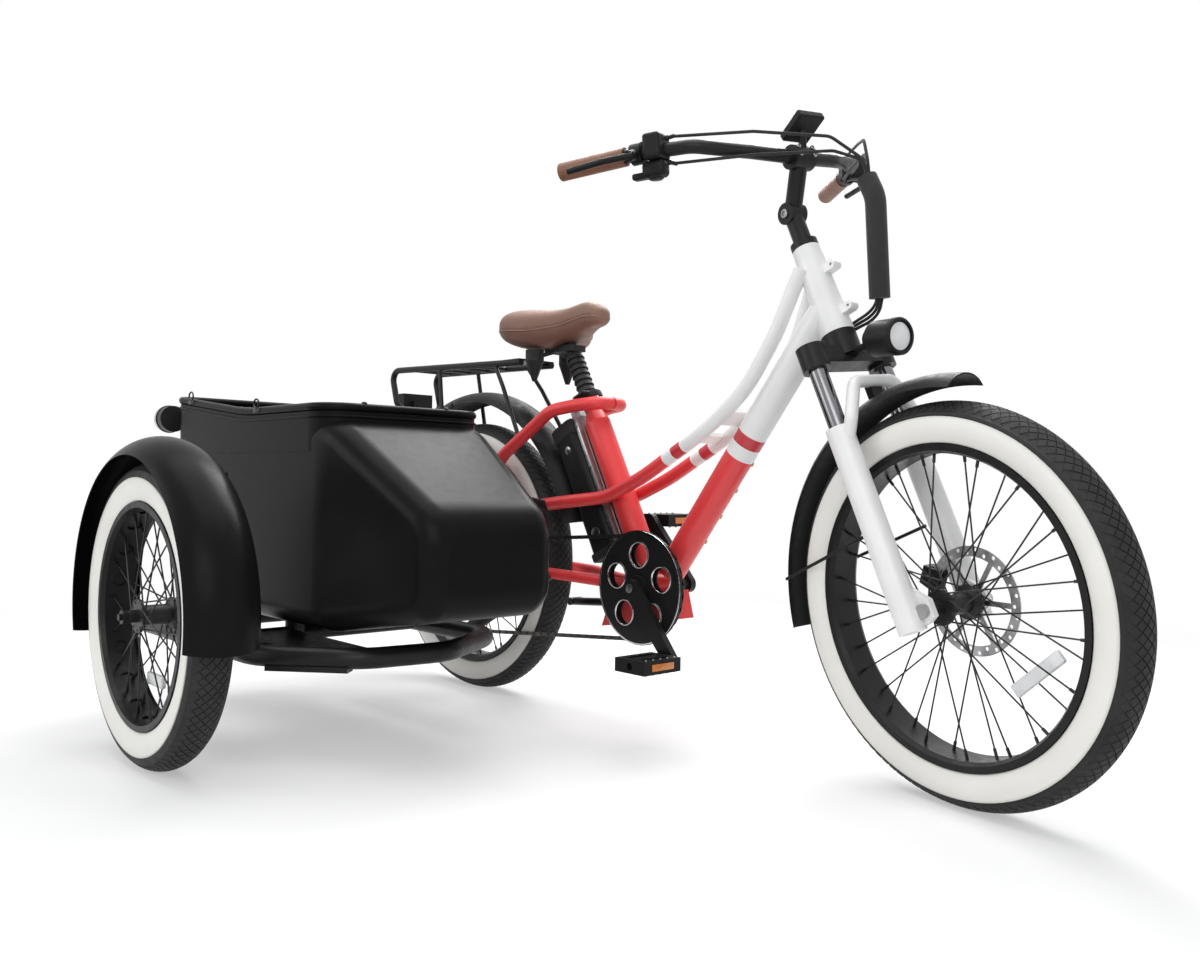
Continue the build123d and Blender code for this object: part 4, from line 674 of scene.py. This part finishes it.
# Pedals: reflectors at both ends, and studs in rows of five above and below.
PEDAL_PINS = {"right_pedal": (731.3, -145, 169.8), "left_pedal": (512.7, 145, 430.2)}
STRIP_OUT = 39.6
STRIP_SIZE = (58, 13, 3)
STRIP_BEVEL = 1.2
STUD_OUT = 32
STUD_UP = 13
STUD_ROW = (-38, -19, 0, 19, 38)
STUD = ((0, 2.2), (1.7, 2.2), (2.1, 1.6), (2.1, 0))
STUD_STEPS = 10
for body, (x, y, z) in PEDAL_PINS.items():
    strips = Shape()
    for end in BOTH:
        strips.block(pointing(at(x + end * STRIP_OUT, y, z), end * AHEAD, UP), STRIP_SIZE, STRIP_BEVEL)
    strips.made(body + "_reflectors", amber, body, "lamp_red")
    studs = Shape()
    for end in BOTH:
        for over in STUD_ROW:
            for side in BOTH:
                spot = at(x + end * STUD_OUT, y + over, z + side * STUD_UP)
                studs.turned(pointing(spot, side * UP), STUD, STUD_STEPS)
    studs.made(body + "_studs", bolt_metal, body, "steel")

# Spoke reflectors, between two places that are brought into the wheel's middle plane.
SPOKE_REFLECTORS = {"front": ((1466, -40, 273), (1386, -17, 204)),
                    "sidecar": ((230, -885, 172), (293, -885, 139))}
REFLECTOR_WIDE = 22
REFLECTOR_THICK = 9
REFLECTOR_BEVEL = 3.5
for name, (low, high) in SPOKE_REFLECTORS.items():
    spin = joints[name + "_wheel_spin"]
    a = at(*low)
    b = at(*high)
    axis = Vector(spin["axis"])
    middle = (a + b) / 2
    middle -= axis * (middle - Vector(spin["pos_m"])).dot(axis)
    way = b - a
    way -= axis * way.dot(axis)
    size = (REFLECTOR_WIDE, way.length / MM, REFLECTOR_THICK)
    strip = Shape()
    strip.block(pointing(middle, axis, way), size, REFLECTOR_BEVEL, SOFT_EDGE)
    strip.made(name + "_spoke_reflector", clear_lens, name + "_wheel", "whitewall")

# Lamps: bezel and lens of the head lamp and the sidecar lamp, and the lens of the tail lamp.
LAMP_BEZEL = ((25.5, -1.0), (25.5, 2.4), (27.0, 3.6), (29.5, 3.0), (31.6, 0.6), (31.8, -9.0))
LAMP_DOME = ((0.0, 3.0), (7.0, 2.8), (13.0, 2.1), (19.0, 1.0), (24.0, -0.2), (26.0, -0.8))
LAMP_STEPS = 56
HEAD_LAMP = (104, 0, 445)
HEAD_LAMP_FORE = 22
SIDECAR_LAMP = (-346, -646, 641)
TAIL_LENS = (-319.5, 0, 718)
TAIL_LENS_SIZE = (82, 37, 6)
TAIL_LENS_BEVEL = 2.5


def round_lamp(name, place, body, rim, glass):
    """A bezel and a domed lens. The rim and the glass are pairs of a material and its slot."""
    for end, profile, (material, slot) in (("_bezel", LAMP_BEZEL, rim), ("_lens", LAMP_DOME, glass)):
        piece = Shape()
        piece.turned(place, profile, LAMP_STEPS)
        piece.made(name + end, material, body, slot)


head_lamp = straight(*HEAD_LAMP) + AHEAD * HEAD_LAMP_FORE * MM
round_lamp("headlamp", PARK @ pointing(head_lamp, AHEAD), "steering",
           (materials["black_plastic"], "black_plastic"), (clear_lens, "whitewall"))
round_lamp("sidecar_lamp", pointing(at(*SIDECAR_LAMP), -AHEAD), "frame",
           (bright_metal, "chrome"), (red_lens, "lamp_red"))
tail_lens = Shape()
tail_lens.block(pointing(at(*TAIL_LENS), -AHEAD, UP), TAIL_LENS_SIZE, TAIL_LENS_BEVEL, SOFT_EDGE)
tail_lens.made("tail_lamp_lens", red_lens, "frame", "lamp_red")

# Display glass, and the bolts of the stem's face and knuckle by radius and height.
CLAMP_F = 62
CLAMP_S = 839.4
SCREEN = (2, 8, 56)
SCREEN_FACE = Vector((-0.55, 0, 0.83)).normalized()
SCREEN_RISE = 8
SCREEN_SIZE = (54, 52, 1.8)
SCREEN_BEVEL = 0.7
FACE_R = 22
FACE_BOLTS = ((-16, -8), (-16, 8), (16, -8), (16, 8))
FACE_BOLT = (4.2, 3.6)
KNUCKLE_HALF = 18.4
KNUCKLE_S = 762
KNUCKLE_BOLT = (8.5, 3.5)
clamp = straight(CLAMP_F, 0, CLAMP_S)
parked_turn = PARK.to_3x3()


def from_clamp(x, y, z):
    """A place near the bar clamp, before PARK turns it."""
    return clamp + Vector((x, y, z)) * MM


screen = from_clamp(*SCREEN) + SCREEN_FACE * SCREEN_RISE * MM
display = Shape()
display.block(PARK @ pointing(screen, SCREEN_FACE), SCREEN_SIZE, SCREEN_BEVEL)
display.made("display_glass", dark_glass, "steering", "black_plastic")
stem_rows = []
for y, s in FACE_BOLTS:
    spot = straight(CLAMP_F + math.sqrt(FACE_R ** 2 - s * s), y, CLAMP_S + s)
    stem_rows.append((PARK @ spot, parked_turn @ HEAD_FORWARD, *FACE_BOLT))
for side in BOTH:
    spot = straight(0, side * KNUCKLE_HALF, KNUCKLE_S)
    stem_rows.append((PARK @ spot, (parked_turn @ LEFT) * side, *KNUCKLE_BOLT))
bolts("stem_bolts", "steering", "black_metal", stem_rows)

# Cable ends at the controls, and the shifter under the right pod.
CABLE_ENDS = (((-96, 212, 44), (-108, 238, 36)), ((-100, 206, -2), (-110, 236, 4)))
BARREL_R = 3.8
BARREL_OVER = 0.15
NUT_R = 5.2
NUT_FROM = 0.25
NUT_TO = 0.5
BARREL_SIDES = 12
RIGHT_GRIP_WAY = Vector((-0.882, -0.470, -0.032)).normalized()
SHIFTER = (-112, -240, -13)
SHIFTER_SIZE = (34, 44, 30)
SHIFTER_BEVEL = 9
SHIFTER_EDGE = 4
SHIFTER_CAP = ((0, 6), (11, 5.4), (14, 3), (14.5, -3))
SHIFTER_CAP_DROP = 13
SHIFTER_CAP_STEPS = 28
THUMB_OUT = 30
THUMB_DROP = 7
THUMB_SIZE = (20, 30, 12)
THUMB_BEVEL = 4
ends = Shape()
for side in BOTH:
    for run in CABLE_ENDS:
        begin, end = [PARK @ from_clamp(x, side * y, z) for x, y, z in run]
        way = end - begin
        ends.tube((begin - way * BARREL_OVER, end), BARREL_R, BARREL_SIDES)
        ends.tube((begin + way * NUT_FROM, begin + way * NUT_TO), NUT_R, BARREL_SIDES)
ends.made("cable_end_barrels", materials["black_metal"], "steering", "black_metal")
pod = from_clamp(*SHIFTER)
thumb = pod + RIGHT_GRIP_WAY * THUMB_OUT * MM - UP * THUMB_DROP * MM
shifter = Shape()
shifter.block(PARK @ pointing(pod, UP, RIGHT_GRIP_WAY), SHIFTER_SIZE, SHIFTER_BEVEL, SHIFTER_EDGE)
shifter.block(PARK @ pointing(thumb, UP, RIGHT_GRIP_WAY), THUMB_SIZE, THUMB_BEVEL, SOFT_EDGE)
shifter.turned(PARK @ pointing(pod - UP * SHIFTER_CAP_DROP * MM, -UP), SHIFTER_CAP, SHIFTER_CAP_STEPS)
shifter.made("shifter_pod", materials["black_plastic"], "steering", "black_plastic")

# Cables from the sleeve into the down tube, laid for the bars as they are parked.
CABLE_R = 2.8
CABLE_SIDES = 10
FRAME_CABLES = ((-7, 0), (0, 6), (7, 12))
CABLE_IN = Vector((2, 0, 10))
CABLE_FALL = Vector((-6, 0, -20))
SLEEVE_END = (86, 34, 532)
HEAD_SIDE = (6.6, 42, HEAD_LOW + 22)
PORT_DOWN = 107
PORT_LEFT = 8
sleeve_end = PARK @ straight(*SLEEVE_END)
cable_side = straight(*HEAD_SIDE)
cable_port = down_top - down_way * PORT_DOWN * MM + LEFT * PORT_LEFT * MM


def eased(points, rounds=4):
    """Cuts the corners of a line again and again."""
    for _ in range(rounds):
        cut = [points[0]]
        for a, b in zip(points, points[1:]):
            cut += [a.lerp(b, 0.25), a.lerp(b, 0.75)]
        points = cut + [points[-1]]
    return points


cable_run = Shape()
for y, drop in FRAME_CABLES:
    sag = UP * -drop * MM
    mouth = sleeve_end + LEFT * y * MM
    route = [mouth + CABLE_IN * MM, mouth + CABLE_FALL * MM + sag, cable_side + sag, cable_port + sag]
    cable_run.tube(eased(route), CABLE_R, CABLE_SIDES)
cable_obj = cable_run.made("frame_cable_run", materials["black_rubber"], None, "black_rubber", SKIN_ANGLE)
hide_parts("frame_cables")
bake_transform(cable_obj)

# Bosses under the down tube, by radius and height.
BOSSES = ((844, 549), (805, 498), (766, 447), (727, 396))
BOSS = (4.6, 3)
BOSS_LEAN = 0.9
BOSS_OUT = 28.6
below = Vector((down_way.z, 0, -down_way.x))
boss_way = (below + LEFT * BOSS_LEAN).normalized()
boss_rows = []
for spot in BOSSES:
    along = (in_plane(spot) - down_low).dot(down_way)
    boss_rows.append((down_low + down_way * along + boss_way * BOSS_OUT * MM, boss_way, *BOSS))
bolts("down_tube_bosses", "frame", "steel", boss_rows, brass)

# Seat tube: the collar with its lever.
SEAT_LOW = (602, 306)
SEAT_TOP = (389, 706)
COLLAR = ((28.6, -17), (30.6, -16), (31.2, -9), (30.6, -2), (28.6, -1))
COLLAR_UP = -2
COLLAR_STEPS = 48
LEVER_RUN = ((-11, -24, -22), (-11, -24, -36), (-11, 6, -40))
LEVER_R = 4.5
LEVER_SIDES = 12
seat_low = in_plane(SEAT_LOW)
seat_top = in_plane(SEAT_TOP)
seat_way = (seat_top - seat_low).normalized()
seat_back = Vector((-seat_way.z, 0, seat_way.x))


def by_seat_tube(start, up, back=0, left=0):
    """A place by the seat tube: up along it, behind its middle line and to the left of that."""
    return start + seat_back * back * MM + seat_way * up * MM + LEFT * left * MM


collar = Shape()
collar.turned(pointing(by_seat_tube(seat_top, COLLAR_UP), seat_way), COLLAR, COLLAR_STEPS)
collar.tube([by_seat_tube(seat_top, *spot) for spot in LEVER_RUN], LEVER_R, LEVER_SIDES)
collar.made("seat_collar", materials["black_metal"], "frame", "black_metal")

# Battery: alloy channel with its bolts, cap and foot, key barrel and charge cover.
CHANNEL_BACK = 34.9
CHANNEL_UP = 252
CHANNEL_HALF = 31
CHANNEL_SIZE = (10, 2 * CHANNEL_HALF, 372)
CHANNEL_BEVEL = 1.2
CHANNEL_BOLTS = (160, 290, 390)
CHANNEL_BOLT = (3.6, 2)
BATTERY_BACK = 76.6
BATTERY_SIDE = -37.8
CAP_UP = 396
CAP_SIZE = (74, 78, 40)
CAP_BEVEL = 7
FOOT_UP = 104
FOOT_SIZE = (74, 78, 20)
FOOT_BEVEL = 5
KEY_UP = 352
KEY = ((0, 0.8), (1.4, 0.8), (1.4, 2.4), (7.5, 2.4), (9.0, 1.4), (9.4, 0))
KEY_STEPS = 28
CHARGE_UP = 150
CHARGE_COVER = ((0, 2.6), (10, 2.4), (12.5, 1.6), (13, 0))
CHARGE_STEPS = 32
channel = Shape()
channel_place = pointing(by_seat_tube(seat_low, CHANNEL_UP, CHANNEL_BACK), seat_way)
channel.block(channel_place, CHANNEL_SIZE, CHANNEL_BEVEL)
channel.made("battery_channel", materials["bare_alloy"], "frame", "bare_alloy")
channel_rows = []
for up in CHANNEL_BOLTS:
    spot = by_seat_tube(seat_low, up, CHANNEL_BACK, -CHANNEL_HALF)
    channel_rows.append((spot, -LEFT, *CHANNEL_BOLT))
bolts("battery_channel_bolts", "frame", "steel", channel_rows)
caps = Shape()
for up, size, bevel in ((CAP_UP, CAP_SIZE, CAP_BEVEL), (FOOT_UP, FOOT_SIZE, FOOT_BEVEL)):
    caps.block(pointing(by_seat_tube(seat_low, up, BATTERY_BACK), seat_way), size, bevel, SOFT_EDGE)
caps.made("battery_caps", materials["black_rubber"], "frame", "black_rubber")
key_spot = by_seat_tube(seat_low, KEY_UP, BATTERY_BACK, BATTERY_SIDE)
charge_spot = by_seat_tube(seat_low, CHARGE_UP, BATTERY_BACK, BATTERY_SIDE)
key = Shape()
key.turned(pointing(key_spot, -LEFT), KEY, KEY_STEPS)
key.turned(pointing(charge_spot, -LEFT), CHARGE_COVER, CHARGE_STEPS)
key.made("battery_key_barrel", bolt_metal, "frame", "steel")

# Sidecar tub: lower bead under the rim, tie loops, press studs.
TUB_REAR = -295
TUB_FRONT = 418
TUB_OUT = -655
TUB_IN = -300
TUB_CORNER = 62
CORNER_STEPS = 12
LINE_STEP = 24
RIM_Z = 641
RIM_SLOPE = 44 / 385
RISE_FROM = 90
RISE_SOFT = 51
BEAD_OUT = 2.2
BEAD_DROP = 17
BEAD_R = 2.8
BEAD_SIDES = 10
FIXINGS_X = (-175, 150)
LOOP_OUT = 4.5
LOOP_RISE = 1
LOOP_PLATE = (30, 10, 3)
LOOP_BEVEL = 1.2
LOOP_WIDE = 11
LOOP_TALL = 9
LOOP_UP = 13
LOOP_FORE = 1
LOOP_STEPS = 24
LOOP_R = 1.8
LOOP_SIDES = 8
PRESS_INSET = 3
PRESS_RISE = 7
PRESS_Y = (-575, -395)
PRESS_STUD = ((0, 4.6), (3.2, 4.4), (5.0, 3.0), (5.4, 0))
PRESS_STEPS = 20


def rim_height(x):
    """Height of the rim: level in front, then rising evenly to the back."""
    u = RISE_FROM - x
    if u < -RISE_SOFT:
        return RIM_Z
    if u < RISE_SOFT:
        return RIM_Z + RIM_SLOPE * (u + RISE_SOFT) ** 2 / (4 * RISE_SOFT)
    return RIM_Z + RIM_SLOPE * u


def tub_line(out, drop):
    """A line round the mouth of the tub, out from its wall and below its rim."""
    corners = ((TUB_FRONT, TUB_OUT, 270), (TUB_FRONT, TUB_IN, 0),
               (TUB_REAR, TUB_IN, 90), (TUB_REAR, TUB_OUT, 180))
    reach = TUB_CORNER + out
    points = []
    for x, y, begin in corners:
        mid_x = x - math.copysign(TUB_CORNER, x)
        mid_y = y + (TUB_CORNER if y == TUB_OUT else -TUB_CORNER)
        for k in range(CORNER_STEPS + 1):
            a = math.radians(begin + 90 * k / CORNER_STEPS)
            points.append((mid_x + reach * math.cos(a), mid_y + reach * math.sin(a)))
    fine = []
    for k, a in enumerate(points):
        b = points[(k + 1) % len(points)]
        steps = max(1, int(math.dist(a, b) / LINE_STEP))
        fine += [(a[0] + (b[0] - a[0]) * i / steps, a[1] + (b[1] - a[1]) * i / steps) for i in range(steps)]
    return [at(x, y, rim_height(x) - drop) for x, y in fine]


bead = Shape()
bead.tube(tub_line(BEAD_OUT, BEAD_DROP), BEAD_R, BEAD_SIDES, wrap=True)
bead.made("tub_lower_bead", materials["tub_black"], "frame", "tub_black")
loops = Shape()
for x in FIXINGS_X:
    place = pointing(at(x, TUB_OUT - LOOP_OUT, rim_height(x) + LOOP_RISE), -LEFT, UP)
    loops.block(place, LOOP_PLATE, LOOP_BEVEL)
    ring = []
    for k in range(LOOP_STEPS):
        a = TAU * k / LOOP_STEPS
        ring.append(place @ Vector((LOOP_WIDE * math.cos(a), LOOP_UP + LOOP_TALL * math.sin(a), LOOP_FORE)))
    loops.tube(ring, LOOP_R, LOOP_SIDES, wrap=True)
loops.made("tub_tie_loops", materials["black_metal"], "frame", "black_metal")
press_spots = [(TUB_FRONT - PRESS_INSET, y) for y in PRESS_Y]
press_spots += [(x, TUB_IN - PRESS_INSET) for x in reversed(FIXINGS_X)]
press_studs = Shape()
for x, y in press_spots:
    press_studs.turned(pointing(at(x, y, rim_height(x) + PRESS_RISE), UP), PRESS_STUD, PRESS_STEPS)
press_studs.made("tub_press_studs", materials["black_metal"], "frame", "black_metal")

# Saddle, a padded cover with piping and stitches. Rows from back to front: x, half width, low and high z.
SADDLE_ROWS = ((160, 62, 844, 890), (178, 88, 828, 899), (215, 111, 817, 906), (255, 110, 814, 905),
               (290, 98, 813, 902), (320, 74, 822, 900), (350, 52, 832, 902), (400, 33, 850, 911),
               (424, 27, 855, 904), (436, 20, 859, 895))
SADDLE_BACK = SADDLE_ROWS[0][0]
SADDLE_LONG = SADDLE_ROWS[-1][0] - SADDLE_BACK
SADDLE_SIDES = 56
SADDLE_STEPS = 72
SADDLE_SQUARE_Y = 0.78
SADDLE_SQUARE_Z = 0.72
SADDLE_ENDS = ((0.25, 7), (0.6, 5.5), (0.85, 2.6))
SEAM_INSET = 2
SEAM_OUT = 0.995
SEAM_DROP = 0.12
SEAM_R = 1.7
SEAM_SIDES = 8
STITCHES = range(2, 70, 2)
STITCH_LIFT = 5.5
STITCH_R = 0.9
STITCH_SIDES = 6


def smooth_rows(rows, x):
    """Values of a table of rows at x, eased between the rows."""
    if x <= rows[0][0]:
        return rows[0][1:]
    for k in range(len(rows) - 1):
        a = rows[k]
        b = rows[k + 1]
        if x <= b[0]:
            before = rows[max(k - 1, 0)]
            after = rows[min(k + 2, len(rows) - 1)]
            share = (x - a[0]) / (b[0] - a[0])
            s2 = share ** 2
            s3 = share ** 3
            found = []
            for i in range(1, len(a)):
                lean_a = (b[i] - before[i]) / (b[0] - before[0]) * (b[0] - a[0])
                lean_b = (after[i] - a[i]) / (after[0] - a[0]) * (b[0] - a[0])
                from_a = (2 * s3 - 3 * s2 + 1) * a[i] + (s3 - 2 * s2 + share) * lean_a
                found.append(from_a + (3 * s2 - 2 * s3) * b[i] + (s3 - s2) * lean_b)
            return found
    return rows[-1][1:]


def saddle_ring(x, shrink=1.0):
    half, low, high = smooth_rows(SADDLE_ROWS, x)
    middle = (low + high) / 2
    tall = (high - low) / 2
    row = []
    for i in range(SADDLE_SIDES):
        a = TAU * i / SADDLE_SIDES
        c = math.cos(a)
        s = math.sin(a)
        y = math.copysign(abs(c) ** SADDLE_SQUARE_Y, c) * half * shrink
        z = math.copysign(abs(s) ** SADDLE_SQUARE_Z, s) * tall * shrink
        row.append(at(x, y, middle + z))
    return row


saddle = Shape()
rows = []
for shrink, out in SADDLE_ENDS:
    rows.append([p - AHEAD * out * MM for p in saddle_ring(SADDLE_BACK, shrink)])
for k in range(SADDLE_STEPS + 1):
    rows.append(saddle_ring(SADDLE_BACK + SADDLE_LONG * k / SADDLE_STEPS))
for shrink, out in reversed(SADDLE_ENDS):
    rows.append([p + AHEAD * out * MM for p in saddle_ring(SADDLE_BACK + SADDLE_LONG, shrink)])
saddle.rings(Matrix.Identity(4), rows, caps=True)
saddle_obj = saddle.made("saddle_cover", materials["brown_hide"], "frame", "brown_hide", SKIN_ANGLE)
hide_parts("saddle")
seam = Shape()
stitches = Shape()
lift = UP * STITCH_LIFT * MM
for side in BOTH:
    line = []
    for k in range(SADDLE_STEPS + 1):
        x = SADDLE_BACK + SEAM_INSET + (SADDLE_LONG - 2 * SEAM_INSET) * k / SADDLE_STEPS
        half, low, high = smooth_rows(SADDLE_ROWS, x)
        line.append(at(x, side * half * SEAM_OUT, (low + high) / 2 - (high - low) * SEAM_DROP))
    seam.tube(line, SEAM_R, SEAM_SIDES)
    for k in STITCHES:
        stitches.tube((line[k] + lift, line[k + 1] + lift), STITCH_R, STITCH_SIDES)
seam.made("saddle_piping", materials["brown_hide"], "frame", "brown_hide", SKIN_ANGLE)
stitches.made("saddle_stitches", thread, "frame", "brown_hide", SKIN_ANGLE)

# Sidecar cushions, each with four flutes sewn into its front or top face.
SEAT_Y = -477.5
SEAT_HALF = 158
FLUTES = [SEAT_Y + d for d in (-96, -32, 32, 96)]
FLUTE_SOFT = 9
CUSHION_SLACK = Vector((8, 8, 8))
CUSHION_VOXEL = 7
CUSHION_EDGE = 5
CLOTH_FRAMES = 14
ALONG_X, ALONG_Y, ALONG_Z = 0, 1, 2


def blown(obj):
    """A short cloth pass with air inside."""
    cloth = obj.modifiers.new("cloth", "CLOTH")
    cloth.settings.quality = 5
    cloth.settings.mass = 0.3
    cloth.settings.tension_stiffness = 14
    cloth.settings.compression_stiffness = 14
    cloth.settings.bending_stiffness = 0.4
    cloth.settings.use_pressure = True
    cloth.settings.uniform_pressure_force = 2.2
    cloth.settings.effector_weights.gravity = 0.0
    cloth.collision_settings.use_collision = False
    cloth.point_cache.frame_end = CLOTH_FRAMES
    for step in range(1, CLOTH_FRAMES + 1):
        bpy.context.scene.frame_set(step)


def stuffed(name, x_span, z_span, round_by, deep, face):
    """A sewn cushion: a rounded block blown up as cloth, kept to its room, with flutes in one face."""
    low = Vector((x_span[0], SEAT_Y - SEAT_HALF, z_span[0]))
    high = Vector((x_span[1], SEAT_Y + SEAT_HALF, z_span[1]))
    lowest = at(*low)
    highest = at(*high)
    middle = at(*((low + high) / 2))
    shape = Shape()
    place = Matrix.Translation(middle) @ Matrix.Scale(MM, 4)
    shape.block(place, high - low - CUSHION_SLACK, round_by, CUSHION_EDGE)
    obj = shape.made(name, materials["seat_cloth"], "frame", "seat_cloth", CLOTH_ANGLE)
    grid = obj.modifiers.new("grid", "REMESH")
    grid.mode = "VOXEL"
    grid.voxel_size = CUSHION_VOXEL * MM
    blown(obj)
    deps = bpy.context.evaluated_depsgraph_get()
    mesh = bpy.data.meshes.new_from_object(obj.evaluated_get(deps))
    obj.modifiers.clear()
    bpy.context.scene.frame_set(1)
    obj.data = mesh
    for v in mesh.vertices:
        for i in range(3):
            v.co[i] = min(max(v.co[i], lowest[i]), highest[i])
        if (v.co - middle)[face] < 0:
            continue
        near = min(abs((v.co[ALONG_Y] - BASE[ALONG_Y]) / MM - spot) for spot in FLUTES)
        v.co[face] -= deep * MM * math.exp(-(near / FLUTE_SOFT) ** 2)
    mesh.shade_smooth()
    dress(obj, materials["seat_cloth"])
    return obj


bench = stuffed("sidecar_bench_cushion", (-283, 54), (240, 347), round_by=30, deep=9, face=ALONG_Z)
back = stuffed("sidecar_back_cushion", (-283, -206), (350, 578), round_by=26, deep=8, face=ALONG_X)
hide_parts("sidecar_seat")
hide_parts("sidecar_seat")

# Camera: the fitted place and lens of the photograph.
CAMERA_AT = (2124, -1567, 514)
YAW = math.radians(137.17)
PITCH = math.radians(0.06)
ROLL = math.radians(0.93)
SENSOR = 36.0
FOCAL = 31.54
look = Vector((math.cos(PITCH) * math.cos(YAW), math.cos(PITCH) * math.sin(YAW), math.sin(PITCH)))
flat_right = Vector((math.sin(YAW), -math.cos(YAW), 0))
flat_up = flat_right.cross(look)
cam_right = flat_right * math.cos(ROLL) + flat_up * math.sin(ROLL)
cam_up = flat_up * math.cos(ROLL) - flat_right * math.sin(ROLL)
camera_data = bpy.data.cameras.new("camera")
camera_data.sensor_width = SENSOR
camera_data.lens = FOCAL
camera = linked("camera", camera_data)
turn = Matrix((cam_right, cam_up, -look)).transposed().to_4x4()
camera.matrix_world = Matrix.Translation(at(*CAMERA_AT)) @ turn
bpy.context.scene.camera = camera

# Stage: a white room, a pale floor that keeps the shadow, and soft lamps. The floor is in metres.
WORLD_FILL = (0.95, 0.97, 1.0, 1)
WORLD_FILL_STRENGTH = 0.45
PLAIN_WHITE = (1, 1, 1, 1)
FLOOR_PALE = (0.9, 0.9, 0.9, 1)
FLOOR_HALF = 14
FLOOR_GLOW = 0.4
FLOOR_FADE_FROM = 1.5
FLOOR_FADE_TO = 3.2


def seen(tree):
    """One for rays from the camera, a mirror or a glass, and zero for light that falls on things."""
    path = node(tree, "LightPath").outputs
    direct = maths(tree, "MAXIMUM", path["Is Camera Ray"], path["Is Glossy Ray"])
    return maths(tree, "MAXIMUM", direct, path["Is Transmission Ray"])


def mixed(tree, share, a, b):
    return node(tree, "MixShader", {0: share, 1: a.outputs[0], 2: b.outputs[0]})


world = bpy.data.worlds.new("studio")
bpy.context.scene.world = world
world.use_nodes = True
wt = world.node_tree
wt.nodes.clear()
w_out = wt.nodes.new("ShaderNodeOutputWorld")
w_fill = node(wt, "Background", {"Color": WORLD_FILL, "Strength": WORLD_FILL_STRENGTH})
w_seen = node(wt, "Background", {"Color": PLAIN_WHITE, "Strength": 1.0})
wt.links.new(mixed(wt, seen(wt), w_fill, w_seen).outputs[0], w_out.inputs[0])

floor_mesh = bpy.data.meshes.new("floor")
floor_corners = [(FLOOR_HALF * x, FLOOR_HALF * y, 0) for x, y in ((-1, -1), (1, -1), (1, 1), (-1, 1))]
floor_mesh.from_pydata(floor_corners, [], [(0, 1, 2, 3)])
floor = linked("floor", floor_mesh)
floor_material = bpy.data.materials.new("floor")
floor_material.use_nodes = True
ft = floor_material.node_tree
ft.nodes.clear()
f_out = ft.nodes.new("ShaderNodeOutputMaterial")
f_pale = node(ft, "BsdfDiffuse", {"Color": FLOOR_PALE})
f_glow = node(ft, "Emission", {"Color": PLAIN_WHITE, "Strength": 1.0})
f_near = mixed(ft, maths(ft, "MULTIPLY", seen(ft), FLOOR_GLOW), f_pale, f_glow)
f_away = vectors(ft, "LENGTH", node(ft, "TexCoord").outputs["Object"])["Value"]
f_range = {"Value": f_away, "From Min": FLOOR_FADE_FROM, "From Max": FLOOR_FADE_TO}
f_fade = node(ft, "MapRange", f_range, interpolation_type="SMOOTHSTEP").outputs[0]
f_all = mixed(ft, f_fade, f_near, node(ft, "BsdfTransparent"))
ft.links.new(f_all.outputs[0], f_out.inputs[0])
dress(floor, floor_material)


def lamp(name, place, target, size, power):
    """A soft lamp: its place and aim in millimetres, its size in metres and its power in watts."""
    data = bpy.data.lights.new(name, "AREA")
    data.shape = "RECTANGLE"
    data.size, data.size_y = size
    data.energy = power
    way = at(*target) - at(*place)
    aim = way.to_track_quat("-Z", "Y").to_matrix().to_4x4()
    linked(name, data).matrix_world = Matrix.Translation(at(*place)) @ aim


lamp("top_soft", (500, -500, 3400), (500, -500, 0), (3.4, 3.0), 80)
lamp("front_soft", (3300, -3000, 2100), (400, -300, 450), (2.4, 2.0), 42)
lamp("left_soft", (-1500, -3600, 1900), (300, -500, 400), (2.2, 1.8), 34)
lamp("hood_soft", (-168, 1080, 2360), (560, -480, 540), (1.6, 1.6), 60)

bpy.context.scene.view_settings.view_transform = "Standard"
